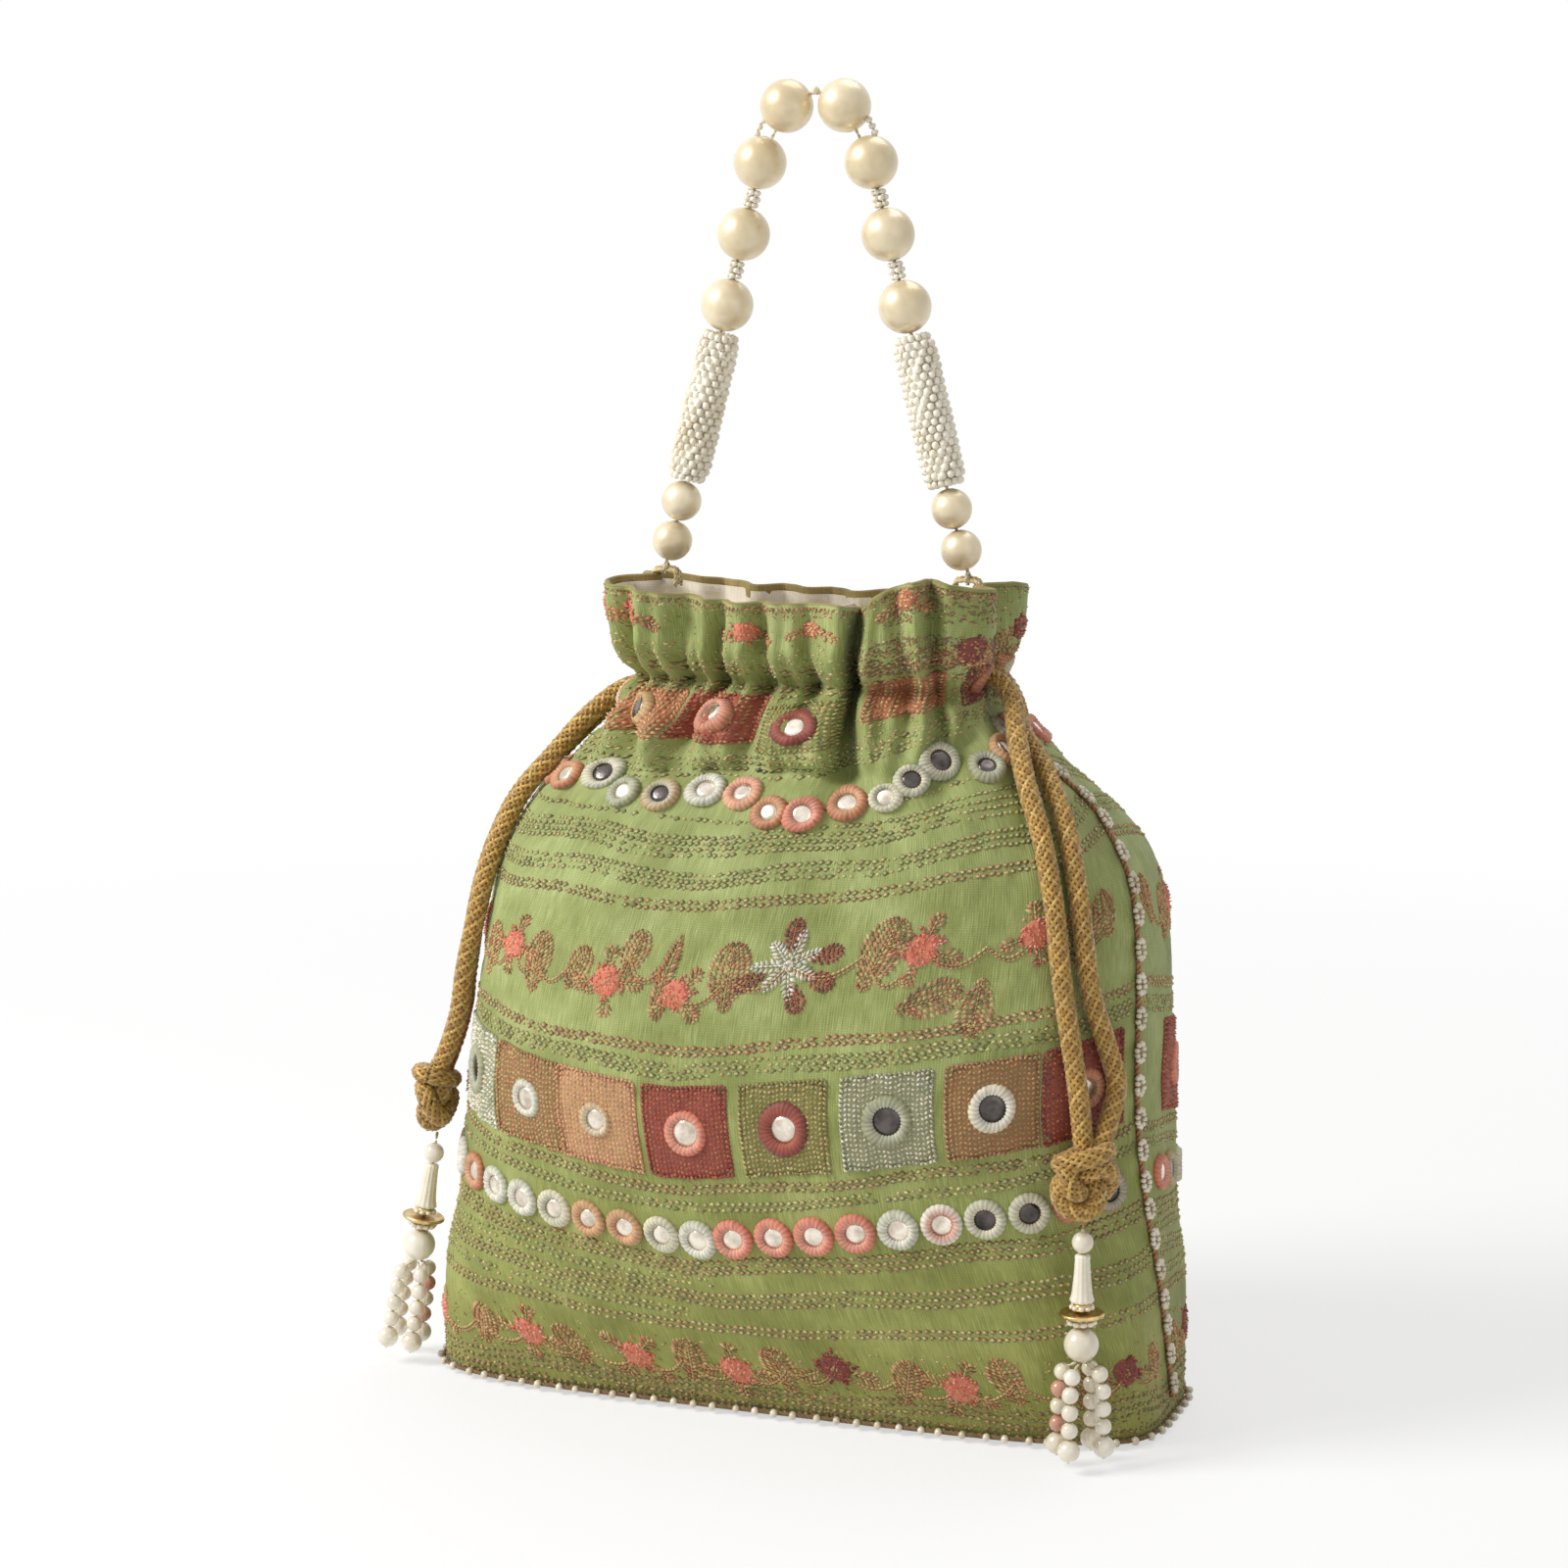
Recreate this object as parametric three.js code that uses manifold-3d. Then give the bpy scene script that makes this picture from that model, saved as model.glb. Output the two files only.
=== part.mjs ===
// A potli: a gathered evening pouch with two drawstrings, tassels and a pearl handle.
// It stands on its oval base. Millimetres, +Z up, front towards -Y, origin at the middle of the base.
import * as THREE from "three";
import { mergeVertices } from "three/addons/utils/BufferGeometryUtils.js";
import Module from "manifold-3d";

const wasm = await Module();
wasm.setup();

// Overall pouch
const POUCH = { width: 190, depth: 104, height: 204 };
const WALL = 1.2;
const FIT = 0.3;
const SEAM_GAP = 0.4;
const COLUMNS = 40;
const BODY_ROWS = 9;

// The wall's outline from the base edge to the mouth, as shares of the pouch's size.
// The lean is how far each level slumps to the right, in millimetres.
const LEVELS = [
  { name: "base", at: 0.0025, width: 1.0, depth: 0.615, lean: 0 },
  { name: "lower", at: 0.147, width: 0.98, depth: 0.85, lean: 0.8 },
  { name: "belly", at: 0.382, width: 0.947, depth: 1.0, lean: 2.2 },
  { name: "flank", at: 0.54, width: 0.921, depth: 0.99, lean: 3.7 },
  { name: "shoulder", at: 0.662, width: 0.863, depth: 0.933, lean: 4.6 },
  { name: "slope", at: 0.735, width: 0.774, depth: 0.827, lean: 3.8 },
  { name: "gather", at: 0.8, width: 0.66, depth: 0.673, lean: 2.6 },
  { name: "underNeck", at: 0.843, width: 0.6, depth: 0.52, lean: 1.5 },
  { name: "neck", at: 0.882, width: 0.6, depth: 0.442, lean: 1.2 },
  { name: "ruffle", at: 0.941, width: 0.62, depth: 0.47, lean: 1.2 },
  { name: "mouth", at: 1.0, width: 0.645, depth: 0.5, lean: 1.2 },
];
const CORNER = { base: 4.6, belly: 2.6, fade: 60 };
const PLEAT = { count: 10, depth: 1.5 };
const SEAM_FOLD = { neck: 12, mouth: 19, spread: 0.65 };
const TWIST = 0.36;

// Base, lining and the cord channel at the neck
const BASE_THICKNESS = 2;
const LINING = { thickness: 0.8, gap: 0.6 };
const CORD_DIAMETER = 5.2;
const CORD_SIDES = 8;
const CORD_STEPS = 54;
const CORD_CLEARANCE = 0.8;
const CORD_GAP = 0.8;
const CASING = { slack: 5.4, margin: 1.9, fade: 6 };
const SLIT_ROOM = 4.8;
const SLIT_LENGTH = 24;
const SLIT_LEAD = 0.42;

// Bead trims along the side seams and round the base
const SEAM_BEADS = { pitch: 8, width: 3.6, thread: 1.0, from: 6, belowNeck: 13.928 };
const BASE_BEADS = { pitch: 5.6, width: 2.4, thread: 1.1, height: 2.2 };

// Handle
const PEARL = 13;
const SMALL_PEARL = 10;
const BEADED_TUBE = { diameter: 11, length: 38, rings: 8, waist: 0.35 };
const LINK = { diameter: 4.8, length: 4.2, rings: 3, waist: 0.4 };
const CROWN = { topGap: 1.8, sideGap: 2.2, lean: 27, seed: 2.8 };
const STRING_RADIUS = 0.45;
const BORE_RADIUS = 0.9;
const STITCH = { radius: 0.6, clearance: 0.6, depth: 3.4, eye: 1.6, drop: 2.6 };

// Knots and tassels
const KNOT = { radius: 4.95, rope: 2.1 };
const TASSEL = { link: 2, thread: 0.4, bore: 0.75, bead: 5.2, pearl: 8.4, spread: 4.9 };
const TRUMPET = { length: 11.6, top: 3.4, bottom: 5.6, lip: 0.6 };
const RONDELLES = [
  { name: "upper_rondelle", diameter: 6.2, height: 1.8 },
  { name: "disc", diameter: 10.8, height: 1 },
  { name: "lower_rondelle", diameter: 7.4, height: 2.2 },
];
const STRAND = { turns: [0.96, 2.18], beads: 4, bead: 4.1, pitch: 4.3, end: 5.4, thread: 0.4, lead: 0.6 };

// The cords' free ends, from the slit down to the knot.
const RIGHT_FRONT = [
  [43, -3.1, 183], [49, -3.8, 182.4], [54.4, -8.4, 178.8], [58, -16, 171.2], [63.5, -25.5, 160.5],
  [69, -32, 150], [74, -37.7, 134], [76.3, -39.4, 119], [78.4, -39.2, 105], [80.2, -38.5, 93],
  [81.8, -39.4, 83], [83, -41, 75],
];
const RIGHT_BACK = [
  [43, 3.1, 183], [48.5, 2, 182], [53.5, -2, 177.2], [57.6, -8.5, 170.2], [64.5, -15, 163.8],
  [72.8, -25.4, 152], [77.3, -31.3, 140.5], [80.4, -34.7, 126.5], [82.3, -34.8, 114], [85.4, -32.6, 102],
  [87.8, -30.6, 91], [87, -34.6, 83], [85.6, -39, 76.5],
];
const LEFT_FRONT = [
  [-40.5, -3.1, 177], [-47, -3.8, 176.6], [-54, -9.6, 171], [-62, -16.3, 160.7], [-69.6, -21.7, 149.8],
  [-75.6, -26.1, 134.2], [-79.4, -27.1, 119.7], [-83.3, -25.7, 105.5], [-86.4, -23.2, 93.5],
  [-90.6, -21.6, 83], [-94.4, -21.6, 76],
];
const LEFT_BACK = [
  [-40.5, 3.1, 177], [-47, 2, 176.6], [-54, -2.4, 171], [-63.3, -8.4, 160.8], [-72.8, -13.1, 149.9],
  [-79.8, -16.5, 134.2], [-83.7, -17.1, 119.8], [-86.9, -15.4, 105.5], [-89.3, -13.7, 93.5],
  [-92.2, -14.4, 83], [-95, -17, 74],
];
const RIGHT_KNOT = { at: [83, -41.5, 70], facing: -48, tilt: 0 };
const LEFT_KNOT = { at: [-95, -18.5, 70], facing: 190, tilt: 10 };

const COLOURS = {
  cloth: 0x9ba26a,
  lining: 0xe1d4be,
  pearl: 0xe4dac2,
  gold: 0xb0904f,
  cord: 0xa9874f,
  bead: 0xd8ccae,
  thread: 0xcbbd98,
};

const CLOTH = { roughness: 0.7, metalness: 0 };
const PEARLY = { roughness: 0.25, metalness: 0 };
const GLAZED = { roughness: 0.3, metalness: 0 };
const GILT = { roughness: 0.35, metalness: 0.9 };

// Shared helpers

const polar = (radius, angle) => [radius * Math.cos(angle), radius * Math.sin(angle)];

function solidOf(geometry) {
  const bare = geometry.clone();
  bare.deleteAttribute("normal");
  bare.deleteAttribute("uv");
  const merged = mergeVertices(bare, 1e-4);
  const mesh = new wasm.Mesh({
    numProp: 3,
    vertProperties: Float32Array.from(merged.attributes.position.array),
    triVerts: Uint32Array.from(merged.index.array),
  });
  return new wasm.Manifold(mesh);
}

function geometryOf(solid) {
  const mesh = solid.getMesh();
  return indexed(Array.from(mesh.vertProperties), Array.from(mesh.triVerts));
}

function indexed(position, index) {
  const geometry = new THREE.BufferGeometry();
  geometry.setAttribute("position", new THREE.Float32BufferAttribute(position, 3));
  geometry.setIndex(index);
  geometry.computeVertexNormals();
  return geometry;
}

function join(...geometries) {
  return geometryOf(geometries.map(solidOf).reduce((sum, next) => sum.add(next)));
}

function cut(geometry, ...tools) {
  return geometryOf(tools.map(solidOf).reduce((rest, tool) => rest.subtract(tool), solidOf(geometry)));
}

// A solid through rings of points; its ends are closed by fans unless it joins up with itself.
function loft(rings, joined = false) {
  const sides = rings[0].length;
  const points = rings.flat();
  const index = [];
  const spans = joined ? rings.length : rings.length - 1;
  for (let r = 0; r < spans; r++) {
    const here = r * sides;
    const there = ((r + 1) % rings.length) * sides;
    for (let s = 0; s < sides; s++) {
      const next = (s + 1) % sides;
      index.push(here + s, here + next, there + next, here + s, there + next, there + s);
    }
  }
  if (!joined) {
    const middle = (ring) => ring.reduce((sum, p) => sum.add(p), new THREE.Vector3()).divideScalar(sides);
    const first = points.push(middle(rings[0])) - 1;
    const last = points.push(middle(rings.at(-1))) - 1;
    const end = (rings.length - 1) * sides;
    for (let s = 0; s < sides; s++) {
      const next = (s + 1) % sides;
      index.push(first, next, s, last, end + s, end + next);
    }
  }
  return indexed(points.flatMap((p) => p.toArray()), index);
}

// A solid between an outer and an inner grid of points.
function sheet(outer, inner) {
  const columns = outer[0].length;
  const rows = outer.length;
  const points = [...outer.flat(), ...inner.flat()];
  const out = (r, c) => r * columns + c;
  const inn = (r, c) => rows * columns + r * columns + c;
  const index = [];
  const quad = (a, b, c, d) => index.push(a, b, c, a, c, d);
  for (let r = 0; r < rows - 1; r++) {
    for (let c = 0; c < columns - 1; c++) {
      quad(out(r, c), out(r, c + 1), out(r + 1, c + 1), out(r + 1, c));
      quad(inn(r, c), inn(r + 1, c), inn(r + 1, c + 1), inn(r, c + 1));
    }
    const end = columns - 1;
    quad(out(r, 0), out(r + 1, 0), inn(r + 1, 0), inn(r, 0));
    quad(out(r, end), inn(r, end), inn(r + 1, end), out(r + 1, end));
  }
  for (let c = 0; c < columns - 1; c++) {
    const top = rows - 1;
    quad(out(0, c), inn(0, c), inn(0, c + 1), out(0, c + 1));
    quad(out(top, c), out(top, c + 1), inn(top, c + 1), inn(top, c));
  }
  return indexed(points.flatMap((p) => p.toArray()), index);
}

// A closed outline turned round the Z axis; the outline runs anticlockwise as (radius, height).
function turned(outline, sides) {
  const loop = [...outline, outline[0]].map(([r, z]) => new THREE.Vector2(r, z));
  return new THREE.LatheGeometry(loop, sides).rotateX(Math.PI / 2);
}

// A round bead of the given diameter with a straight bore along Z.
function bead(diameter, bore, sides, rows) {
  const radius = diameter / 2;
  const rim = Math.acos(bore / radius);
  const outline = Array.from({ length: rows + 1 }, (_, i) => polar(radius, -rim + (2 * rim * i) / rows));
  return turned(outline, sides);
}

// A bored sleeve of stacked rings along Z, fat at each ring and narrower between them.
function ringedSleeve({ diameter, length, rings, waist }, bore, sides) {
  const outline = [[bore, -length / 2]];
  for (let i = 0; i <= 2 * rings; i++) {
    outline.push([diameter / 2 - (i % 2 ? 0 : waist), -length / 2 + (length * i) / (2 * rings)]);
  }
  outline.push([bore, length / 2]);
  return turned(outline, sides);
}

function round(radius, sides) {
  return new THREE.Shape(Array.from({ length: sides }, (_, i) => {
    return new THREE.Vector2(...polar(radius, (2 * Math.PI * i) / sides));
  }));
}

function rope(path, radius, sides, steps) {
  return new THREE.ExtrudeGeometry(round(radius, sides), { steps, extrudePath: path });
}

// A route whose steps fall exactly on its points, for a string that runs straight through its beads.
class BeadRoute extends THREE.Curve {
  constructor(points) {
    super();
    this.points = points;
  }

  getUtoTmapping(u) {
    return u;
  }

  getPoint(t, target = new THREE.Vector3()) {
    const place = t * (this.points.length - 1);
    const k = Math.min(Math.floor(place), this.points.length - 2);
    return target.lerpVectors(this.points[k], this.points[k + 1], place - k);
  }
}

// A string with beads worked on it: stops are (share of the route, radius), and side turns its rings.
function beadString(path, stops, sides, side, joined = false) {
  const rings = stops.map(([share, radius]) => {
    const along = path.getTangentAt(share);
    const across = new THREE.Vector3().crossVectors(side, along).normalize();
    const other = new THREE.Vector3().crossVectors(along, across);
    const middle = path.getPointAt(share);
    return Array.from({ length: sides }, (_, i) => {
      const [u, v] = polar(radius, (2 * Math.PI * i) / sides);
      return middle.clone().addScaledVector(across, u).addScaledVector(other, v);
    });
  });
  return loft(rings, joined);
}

const group = new THREE.Group();

function add(name, geometry, colour, parent = group, finish = CLOTH) {
  const mesh = new THREE.Mesh(geometry, new THREE.MeshStandardMaterial({ color: colour, ...finish }));
  mesh.name = name;
  parent.add(mesh);
  return mesh;
}

// The pouch's wall

const outline = new THREE.CubicInterpolant(
  LEVELS.map((level) => level.at * POUCH.height),
  LEVELS.flatMap(({ width, depth, lean }) => [(width * POUCH.width) / 2, (depth * POUCH.depth) / 2, lean]),
  3,
  new Float32Array(3),
);
const levelHeight = (name) => LEVELS.find((level) => level.name === name).at * POUCH.height;
const baseHeight = levelHeight("base");
const gatherStart = levelHeight("slope");
const neckHeight = levelHeight("neck");

function wallPoint(height, angle, inset = 0) {
  const [halfWidth, halfDepth, lean] = outline.evaluate(height);
  const { smoothstep, lerp, clamp } = THREE.MathUtils;
  const corner = lerp(CORNER.base, CORNER.belly, smoothstep(height, 0, CORNER.fade));
  const c = Math.cos(angle);
  const s = Math.sin(angle);
  const reach = (Math.abs(c) ** corner + Math.abs(s) ** corner) ** (-1 / corner);
  const gathered = smoothstep(height, gatherStart, neckHeight);
  const rise = clamp((height - neckHeight) / (POUCH.height - neckHeight), 0, 1);
  const fold = gathered * lerp(SEAM_FOLD.neck, SEAM_FOLD.mouth, rise);
  const pinch = fold * Math.exp(-((Math.asin(Math.abs(s)) / SEAM_FOLD.spread) ** 2));
  const pleat = -gathered * PLEAT.depth * Math.cos(PLEAT.count * angle);
  const x = lean + (halfWidth - inset + pleat - pinch) * c * reach;
  return new THREE.Vector3(x, (halfDepth - inset + pleat) * s * reach, height);
}

// A point standing off the wall, square to it.
function offWall(height, angle, distance) {
  const small = 0.01;
  const round = wallPoint(height, angle + small).sub(wallPoint(height, angle - small));
  const rise = wallPoint(height + small, angle).sub(wallPoint(height - small, angle));
  return wallPoint(height, angle).addScaledVector(round.cross(rise).normalize(), distance);
}

// The filled pouch twists a little between its base and its neck, and its side seams go with it.
function twist(height) {
  const share = THREE.MathUtils.clamp((height - baseHeight) / (neckHeight - baseHeight), 0, 1);
  return -TWIST * Math.sin(Math.PI * share);
}

const columnAngle = (column, height) => (2 * Math.PI * column) / COLUMNS + twist(height);

// Rows of the wall: closer together towards the gathers, with a row at each edge of the cord channel.
const bodyRows = Array.from({ length: BODY_ROWS }, (_, i) => {
  const share = (i / (BODY_ROWS - 1)) ** 0.85;
  return THREE.MathUtils.lerp(baseHeight, gatherStart + 8, share);
});
const cordSpacing = CORD_DIAMETER + CORD_GAP;
const casingDepth = CORD_DIAMETER + CASING.slack;
const halfHeight = (CORD_DIAMETER + cordSpacing) / 2 + CASING.margin;
const { fade } = CASING;
const casingRises = [-halfHeight - fade, -halfHeight, 0, halfHeight, halfHeight + fade];
const casingRows = casingRises.map((rise) => neckHeight + rise);
const ROWS = [...bodyRows, ...casingRows, POUCH.height];

function panel(firstColumn, shift) {
  const grid = (inset) => ROWS.map((height) => {
    return Array.from({ length: COLUMNS / 2 + 1 }, (_, c) => {
      const point = wallPoint(height, columnAngle(firstColumn + c, height), inset);
      return point.add(new THREE.Vector3(0, shift, 0));
    });
  });
  return sheet(grid(0), grid(WALL));
}

// The slits in the side seams that let the cords out of the channel.
const rightCordHeight = neckHeight + cordSpacing / 2;
const leftCordHeight = neckHeight - cordSpacing / 2;

function slit(height, angle) {
  const tall = CORD_DIAMETER + 2 * CORD_CLEARANCE;
  const wide = CORD_DIAMETER + 2 * SLIT_ROOM;
  const at = wallPoint(height, angle);
  return new THREE.BoxGeometry(SLIT_LENGTH, wide, tall).translate(at.x, at.y, height);
}

const slits = [slit(rightCordHeight, 0), slit(leftCordHeight, Math.PI)];
add("front_panel", cut(panel(COLUMNS / 2, -SEAM_GAP / 2), ...slits), COLOURS.cloth);
add("back_panel", cut(panel(0, SEAM_GAP / 2), ...slits), COLOURS.cloth);

const baseOutline = Array.from({ length: COLUMNS }, (_, c) => {
  return wallPoint(baseHeight, columnAngle(c, 0), WALL + FIT);
});
const baseShape = new THREE.Shape(baseOutline.map(({ x, y }) => new THREE.Vector2(x, y)));
const baseBoard = new THREE.ExtrudeGeometry(baseShape, { depth: BASE_THICKNESS, bevelEnabled: false });
add("base_panel", baseBoard, COLOURS.cloth);

// The lining stands clear of the wall by the depth of the cord channel at the neck.
function liningInset(height) {
  const away = Math.abs(height - neckHeight);
  const share = 1 - THREE.MathUtils.clamp((away - halfHeight) / fade, 0, 1);
  return WALL + LINING.gap + casingDepth * share;
}

function liningRing(height, inset) {
  const at = Math.max(height, baseHeight);
  return Array.from({ length: COLUMNS }, (_, c) => wallPoint(at, columnAngle(c, at), inset));
}

const liningFloor = BASE_THICKNESS + FIT;
const liningRows = [liningFloor, ...ROWS.slice(1)];
const liningOut = liningRows.map((height) => liningRing(height, liningInset(height)));
const liningIn = [liningFloor + LINING.thickness, ...liningRows.slice(1)].map((height) => {
  return liningRing(height, liningInset(height) + LINING.thickness);
});
add("lining", loft([...liningOut, ...liningIn.reverse()]), COLOURS.lining);

// Bead trims

const UP = new THREE.Vector3(0, 0, 1);
const FRONT = new THREE.Vector3(0, -1, 0);

function seamTrim(side) {
  const { pitch, width, thread, from, belowNeck } = SEAM_BEADS;
  const to = neckHeight - belowNeck;
  const count = Math.round((to - from) / pitch);
  const points = Array.from({ length: 14 }, (_, i) => {
    const height = from + ((to - from) * i) / 13;
    return offWall(height, side + twist(height), FIT + width / 2);
  });
  const stops = Array.from({ length: 2 * count + 1 }, (_, i) => {
    return [i / (2 * count), (i % 2 ? width : thread) / 2];
  });
  return beadString(new THREE.CatmullRomCurve3(points), stops, 5, FRONT);
}

add("side_trim_right", seamTrim(0), COLOURS.bead);
add("side_trim_left", seamTrim(Math.PI), COLOURS.bead);

const baseTrimPoints = Array.from({ length: COLUMNS }, (_, c) => {
  return offWall(BASE_BEADS.height, columnAngle(c, BASE_BEADS.height), FIT + BASE_BEADS.width / 2);
});
const baseTrimPath = new THREE.CatmullRomCurve3(baseTrimPoints, true);
const baseBeads = Math.round(baseTrimPath.getLength() / BASE_BEADS.pitch);
const baseStops = Array.from({ length: 2 * baseBeads }, (_, i) => {
  return [i / (2 * baseBeads), (i % 2 ? BASE_BEADS.width : BASE_BEADS.thread) / 2];
});
add("base_trim", beadString(baseTrimPath, baseStops, 4, UP, true), COLOURS.bead);

// The handle: pearls, ringed tubes and links on one string, hung on a stitched loop at each side seam.

const rimThickness = WALL + LINING.gap + LINING.thickness;
const rimRight = wallPoint(POUCH.height, 0, rimThickness / 2);
const rimLeft = wallPoint(POUCH.height, Math.PI, rimThickness / 2);
const handleMiddle = (rimRight.x + rimLeft.x) / 2;
const pivotReach = (rimRight.x - rimLeft.x) / 2;
const pivotHeight = POUCH.height + STITCH.drop;

const handle = new THREE.Group();
handle.position.set(handleMiddle, 0, pivotHeight);
group.add(handle);

// Beads from the side of the crown down to the stitched loop, each with the length it takes on the string.
const STRAND_BEADS = [
  { name: "pearl_three", length: PEARL },
  { name: "link_upper", length: LINK.length },
  { name: "pearl_two", length: PEARL },
  { name: "link_lower", length: LINK.length },
  { name: "pearl_one", length: PEARL },
  { name: "beaded_tube", length: BEADED_TUBE.length },
  { name: "small_pearl_upper", length: SMALL_PEARL },
  { name: "small_pearl_lower", length: SMALL_PEARL },
];
const crownLean = THREE.MathUtils.degToRad(CROWN.lean);
const crownX = PEARL / 2 + CROWN.topGap / 2;
const crownDrop = PEARL + CROWN.sideGap;
const shoulderX = crownX + crownDrop * Math.sin(crownLean);
let run = -PEARL / 2;
for (const item of STRAND_BEADS) {
  item.middle = run + item.length / 2;
  run += item.length + FIT;
}
const strandLength = run + STITCH.eye;
const strandLean = Math.asin((pivotReach - shoulderX) / strandLength);
const strandTop = strandLength * Math.cos(strandLean);
const crownTop = strandTop + crownDrop * Math.cos(crownLean);

const lean = (angle) => new THREE.Vector3(Math.sin(angle), 0, -Math.cos(angle));
const strandWay = lean(strandLean);
const strandStart = new THREE.Vector3(shoulderX, 0, strandTop);
const strandPoint = (distance) => strandStart.clone().addScaledVector(strandWay, distance);
const crownWay = lean((crownLean + Math.PI / 2) / 2);
const crownPoint = new THREE.Vector3(crownX, 0, crownTop);

const SHAPES = {
  pearl: () => [bead(PEARL, BORE_RADIUS, 10, 7), COLOURS.pearl, PEARLY],
  small: () => [bead(SMALL_PEARL, BORE_RADIUS, 9, 6), COLOURS.pearl, PEARLY],
  beaded: () => [ringedSleeve(BEADED_TUBE, BORE_RADIUS, 10), COLOURS.bead, GLAZED],
  link: () => [ringedSleeve(LINK, BORE_RADIUS, 6), COLOURS.bead, GLAZED],
};

function thread(name, at, way) {
  const [geometry, colour, finish] = SHAPES[name.split("_")[0]]();
  return (side) => {
    const mesh = add(`${name}_${side > 0 ? "right" : "left"}`, geometry.clone(), colour, handle, finish);
    mesh.position.set(side * at.x, 0, at.z);
    mesh.quaternion.setFromUnitVectors(UP, new THREE.Vector3(side * way.x, 0, way.z));
  };
}

const bothSides = STRAND_BEADS.map(({ name, middle }) => thread(name, strandPoint(middle), strandWay));
bothSides.push(thread("pearl_four", crownPoint, crownWay));
for (const side of [1, -1]) {
  bothSides.forEach((place) => place(side));
}

const crownExit = crownPoint.clone().addScaledVector(crownWay, -PEARL / 2);
const seed = bead(CROWN.seed, BORE_RADIUS, 8, 6).scale(1, 1, 0.5);
const seedMesh = add("crown_seed", seed, COLOURS.bead, handle, GLAZED);
seedMesh.position.set(0, 0, crownExit.z);
seedMesh.rotation.y = Math.PI / 2;

const reach = PEARL / 2 + FIT;
const halfRoute = [
  new THREE.Vector3(0, 0, crownExit.z),
  crownPoint.clone().addScaledVector(crownWay, -reach + FIT),
  crownPoint.clone().addScaledVector(crownWay, reach),
  strandPoint(-reach),
  strandPoint(reach),
  strandPoint(strandLength - STITCH.eye),
];
const mirrored = halfRoute.slice(1).reverse().map(({ x, z }) => new THREE.Vector3(-x, 0, z));
const stringRoute = [...mirrored, ...halfRoute];
const string = rope(new BeadRoute(stringRoute), STRING_RADIUS, 6, stringRoute.length - 1);
const eyes = [1, -1].map((side) => {
  const eye = new THREE.TorusGeometry(STITCH.eye, STRING_RADIUS, 6, 10).rotateY(Math.PI / 2);
  return eye.translate(side * pivotReach, 0, 0);
});
add("handle_string", join(string, ...eyes), COLOURS.thread, handle);

// The stitched loop straddles the rim, its bar across the top through the string's eye.
function stitch(side) {
  const half = rimThickness / 2 + STITCH.clearance + STITCH.radius;
  const low = -STITCH.drop - STITCH.depth;
  const bend = STITCH.radius;
  const leg = [[half - bend, 0], [half, -bend], [half, low]];
  const points = [...leg.map(([x, z]) => [-x, z]).reverse(), ...leg];
  const route = new BeadRoute(points.map(([x, z]) => new THREE.Vector3(x, 0, z)));
  return rope(route, STITCH.radius, 6, points.length - 1).translate(side * pivotReach, 0, 0);
}

for (const [side, name] of [[1, "right"], [-1, "left"]]) {
  add(`handle_stitch_${name}`, stitch(side), COLOURS.thread).position.copy(handle.position);
}

// The drawstrings: each runs once round the channel and comes out of one side seam twice.

const channelInset = WALL + (LINING.gap + casingDepth) / 2;

function drawstring(front, back, height, seam) {
  const steps = COLUMNS;
  const lead = SLIT_LEAD;
  const round = Array.from({ length: steps + 1 }, (_, i) => {
    const angle = seam - lead - ((2 * Math.PI - 2 * lead) * i) / steps;
    return wallPoint(height, angle, channelInset);
  });
  const vectors = (list) => list.map((p) => new THREE.Vector3(...p));
  const [first, last] = seam > 1 ? [back, front] : [front, back];
  const points = [...vectors(first).reverse(), ...round, ...vectors(last)];
  return rope(new THREE.CatmullRomCurve3(points), CORD_DIAMETER / 2, CORD_SIDES, CORD_STEPS);
}

// Each cord's two ends are tied together, and a tassel hangs under the knot on a short thread link.

const trefoil = new THREE.TorusKnotGeometry(KNOT.radius, KNOT.rope, 36, 5);
const tied = trefoil.rotateX(Math.PI / 2).rotateY(Math.PI);
tied.computeBoundingBox();
const knotDrop = tied.boundingBox.min.z;

function knotPlace({ at, facing }) {
  const place = new THREE.Group();
  place.position.set(...at);
  place.rotation.z = THREE.MathUtils.degToRad(facing) + Math.PI / 2;
  place.updateMatrix();
  return place;
}

function tiedCord(cord, knot) {
  return join(cord, tied.clone().applyMatrix4(knotPlace(knot).matrix));
}

const rightCord = drawstring(RIGHT_FRONT, RIGHT_BACK, rightCordHeight, 0);
const leftCord = drawstring(LEFT_FRONT, LEFT_BACK, leftCordHeight, Math.PI);
add("drawstring_right", tiedCord(rightCord, RIGHT_KNOT), COLOURS.cord);
add("drawstring_left", tiedCord(leftCord, LEFT_KNOT), COLOURS.cord);

function strandRoute(angle, top) {
  const { spread } = TASSEL;
  const length = STRAND.lead + STRAND.pitch * STRAND.beads + STRAND.end;
  const bow = [
    [1.2, 0],
    [spread * 0.8, -1.6],
    [spread, -4],
    [spread + 0.5, -length * 0.6],
    [spread + 0.8, -length],
  ];
  return new THREE.CatmullRomCurve3(bow.map(([r, z]) => new THREE.Vector3(...polar(r, angle), top + z)));
}

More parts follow.
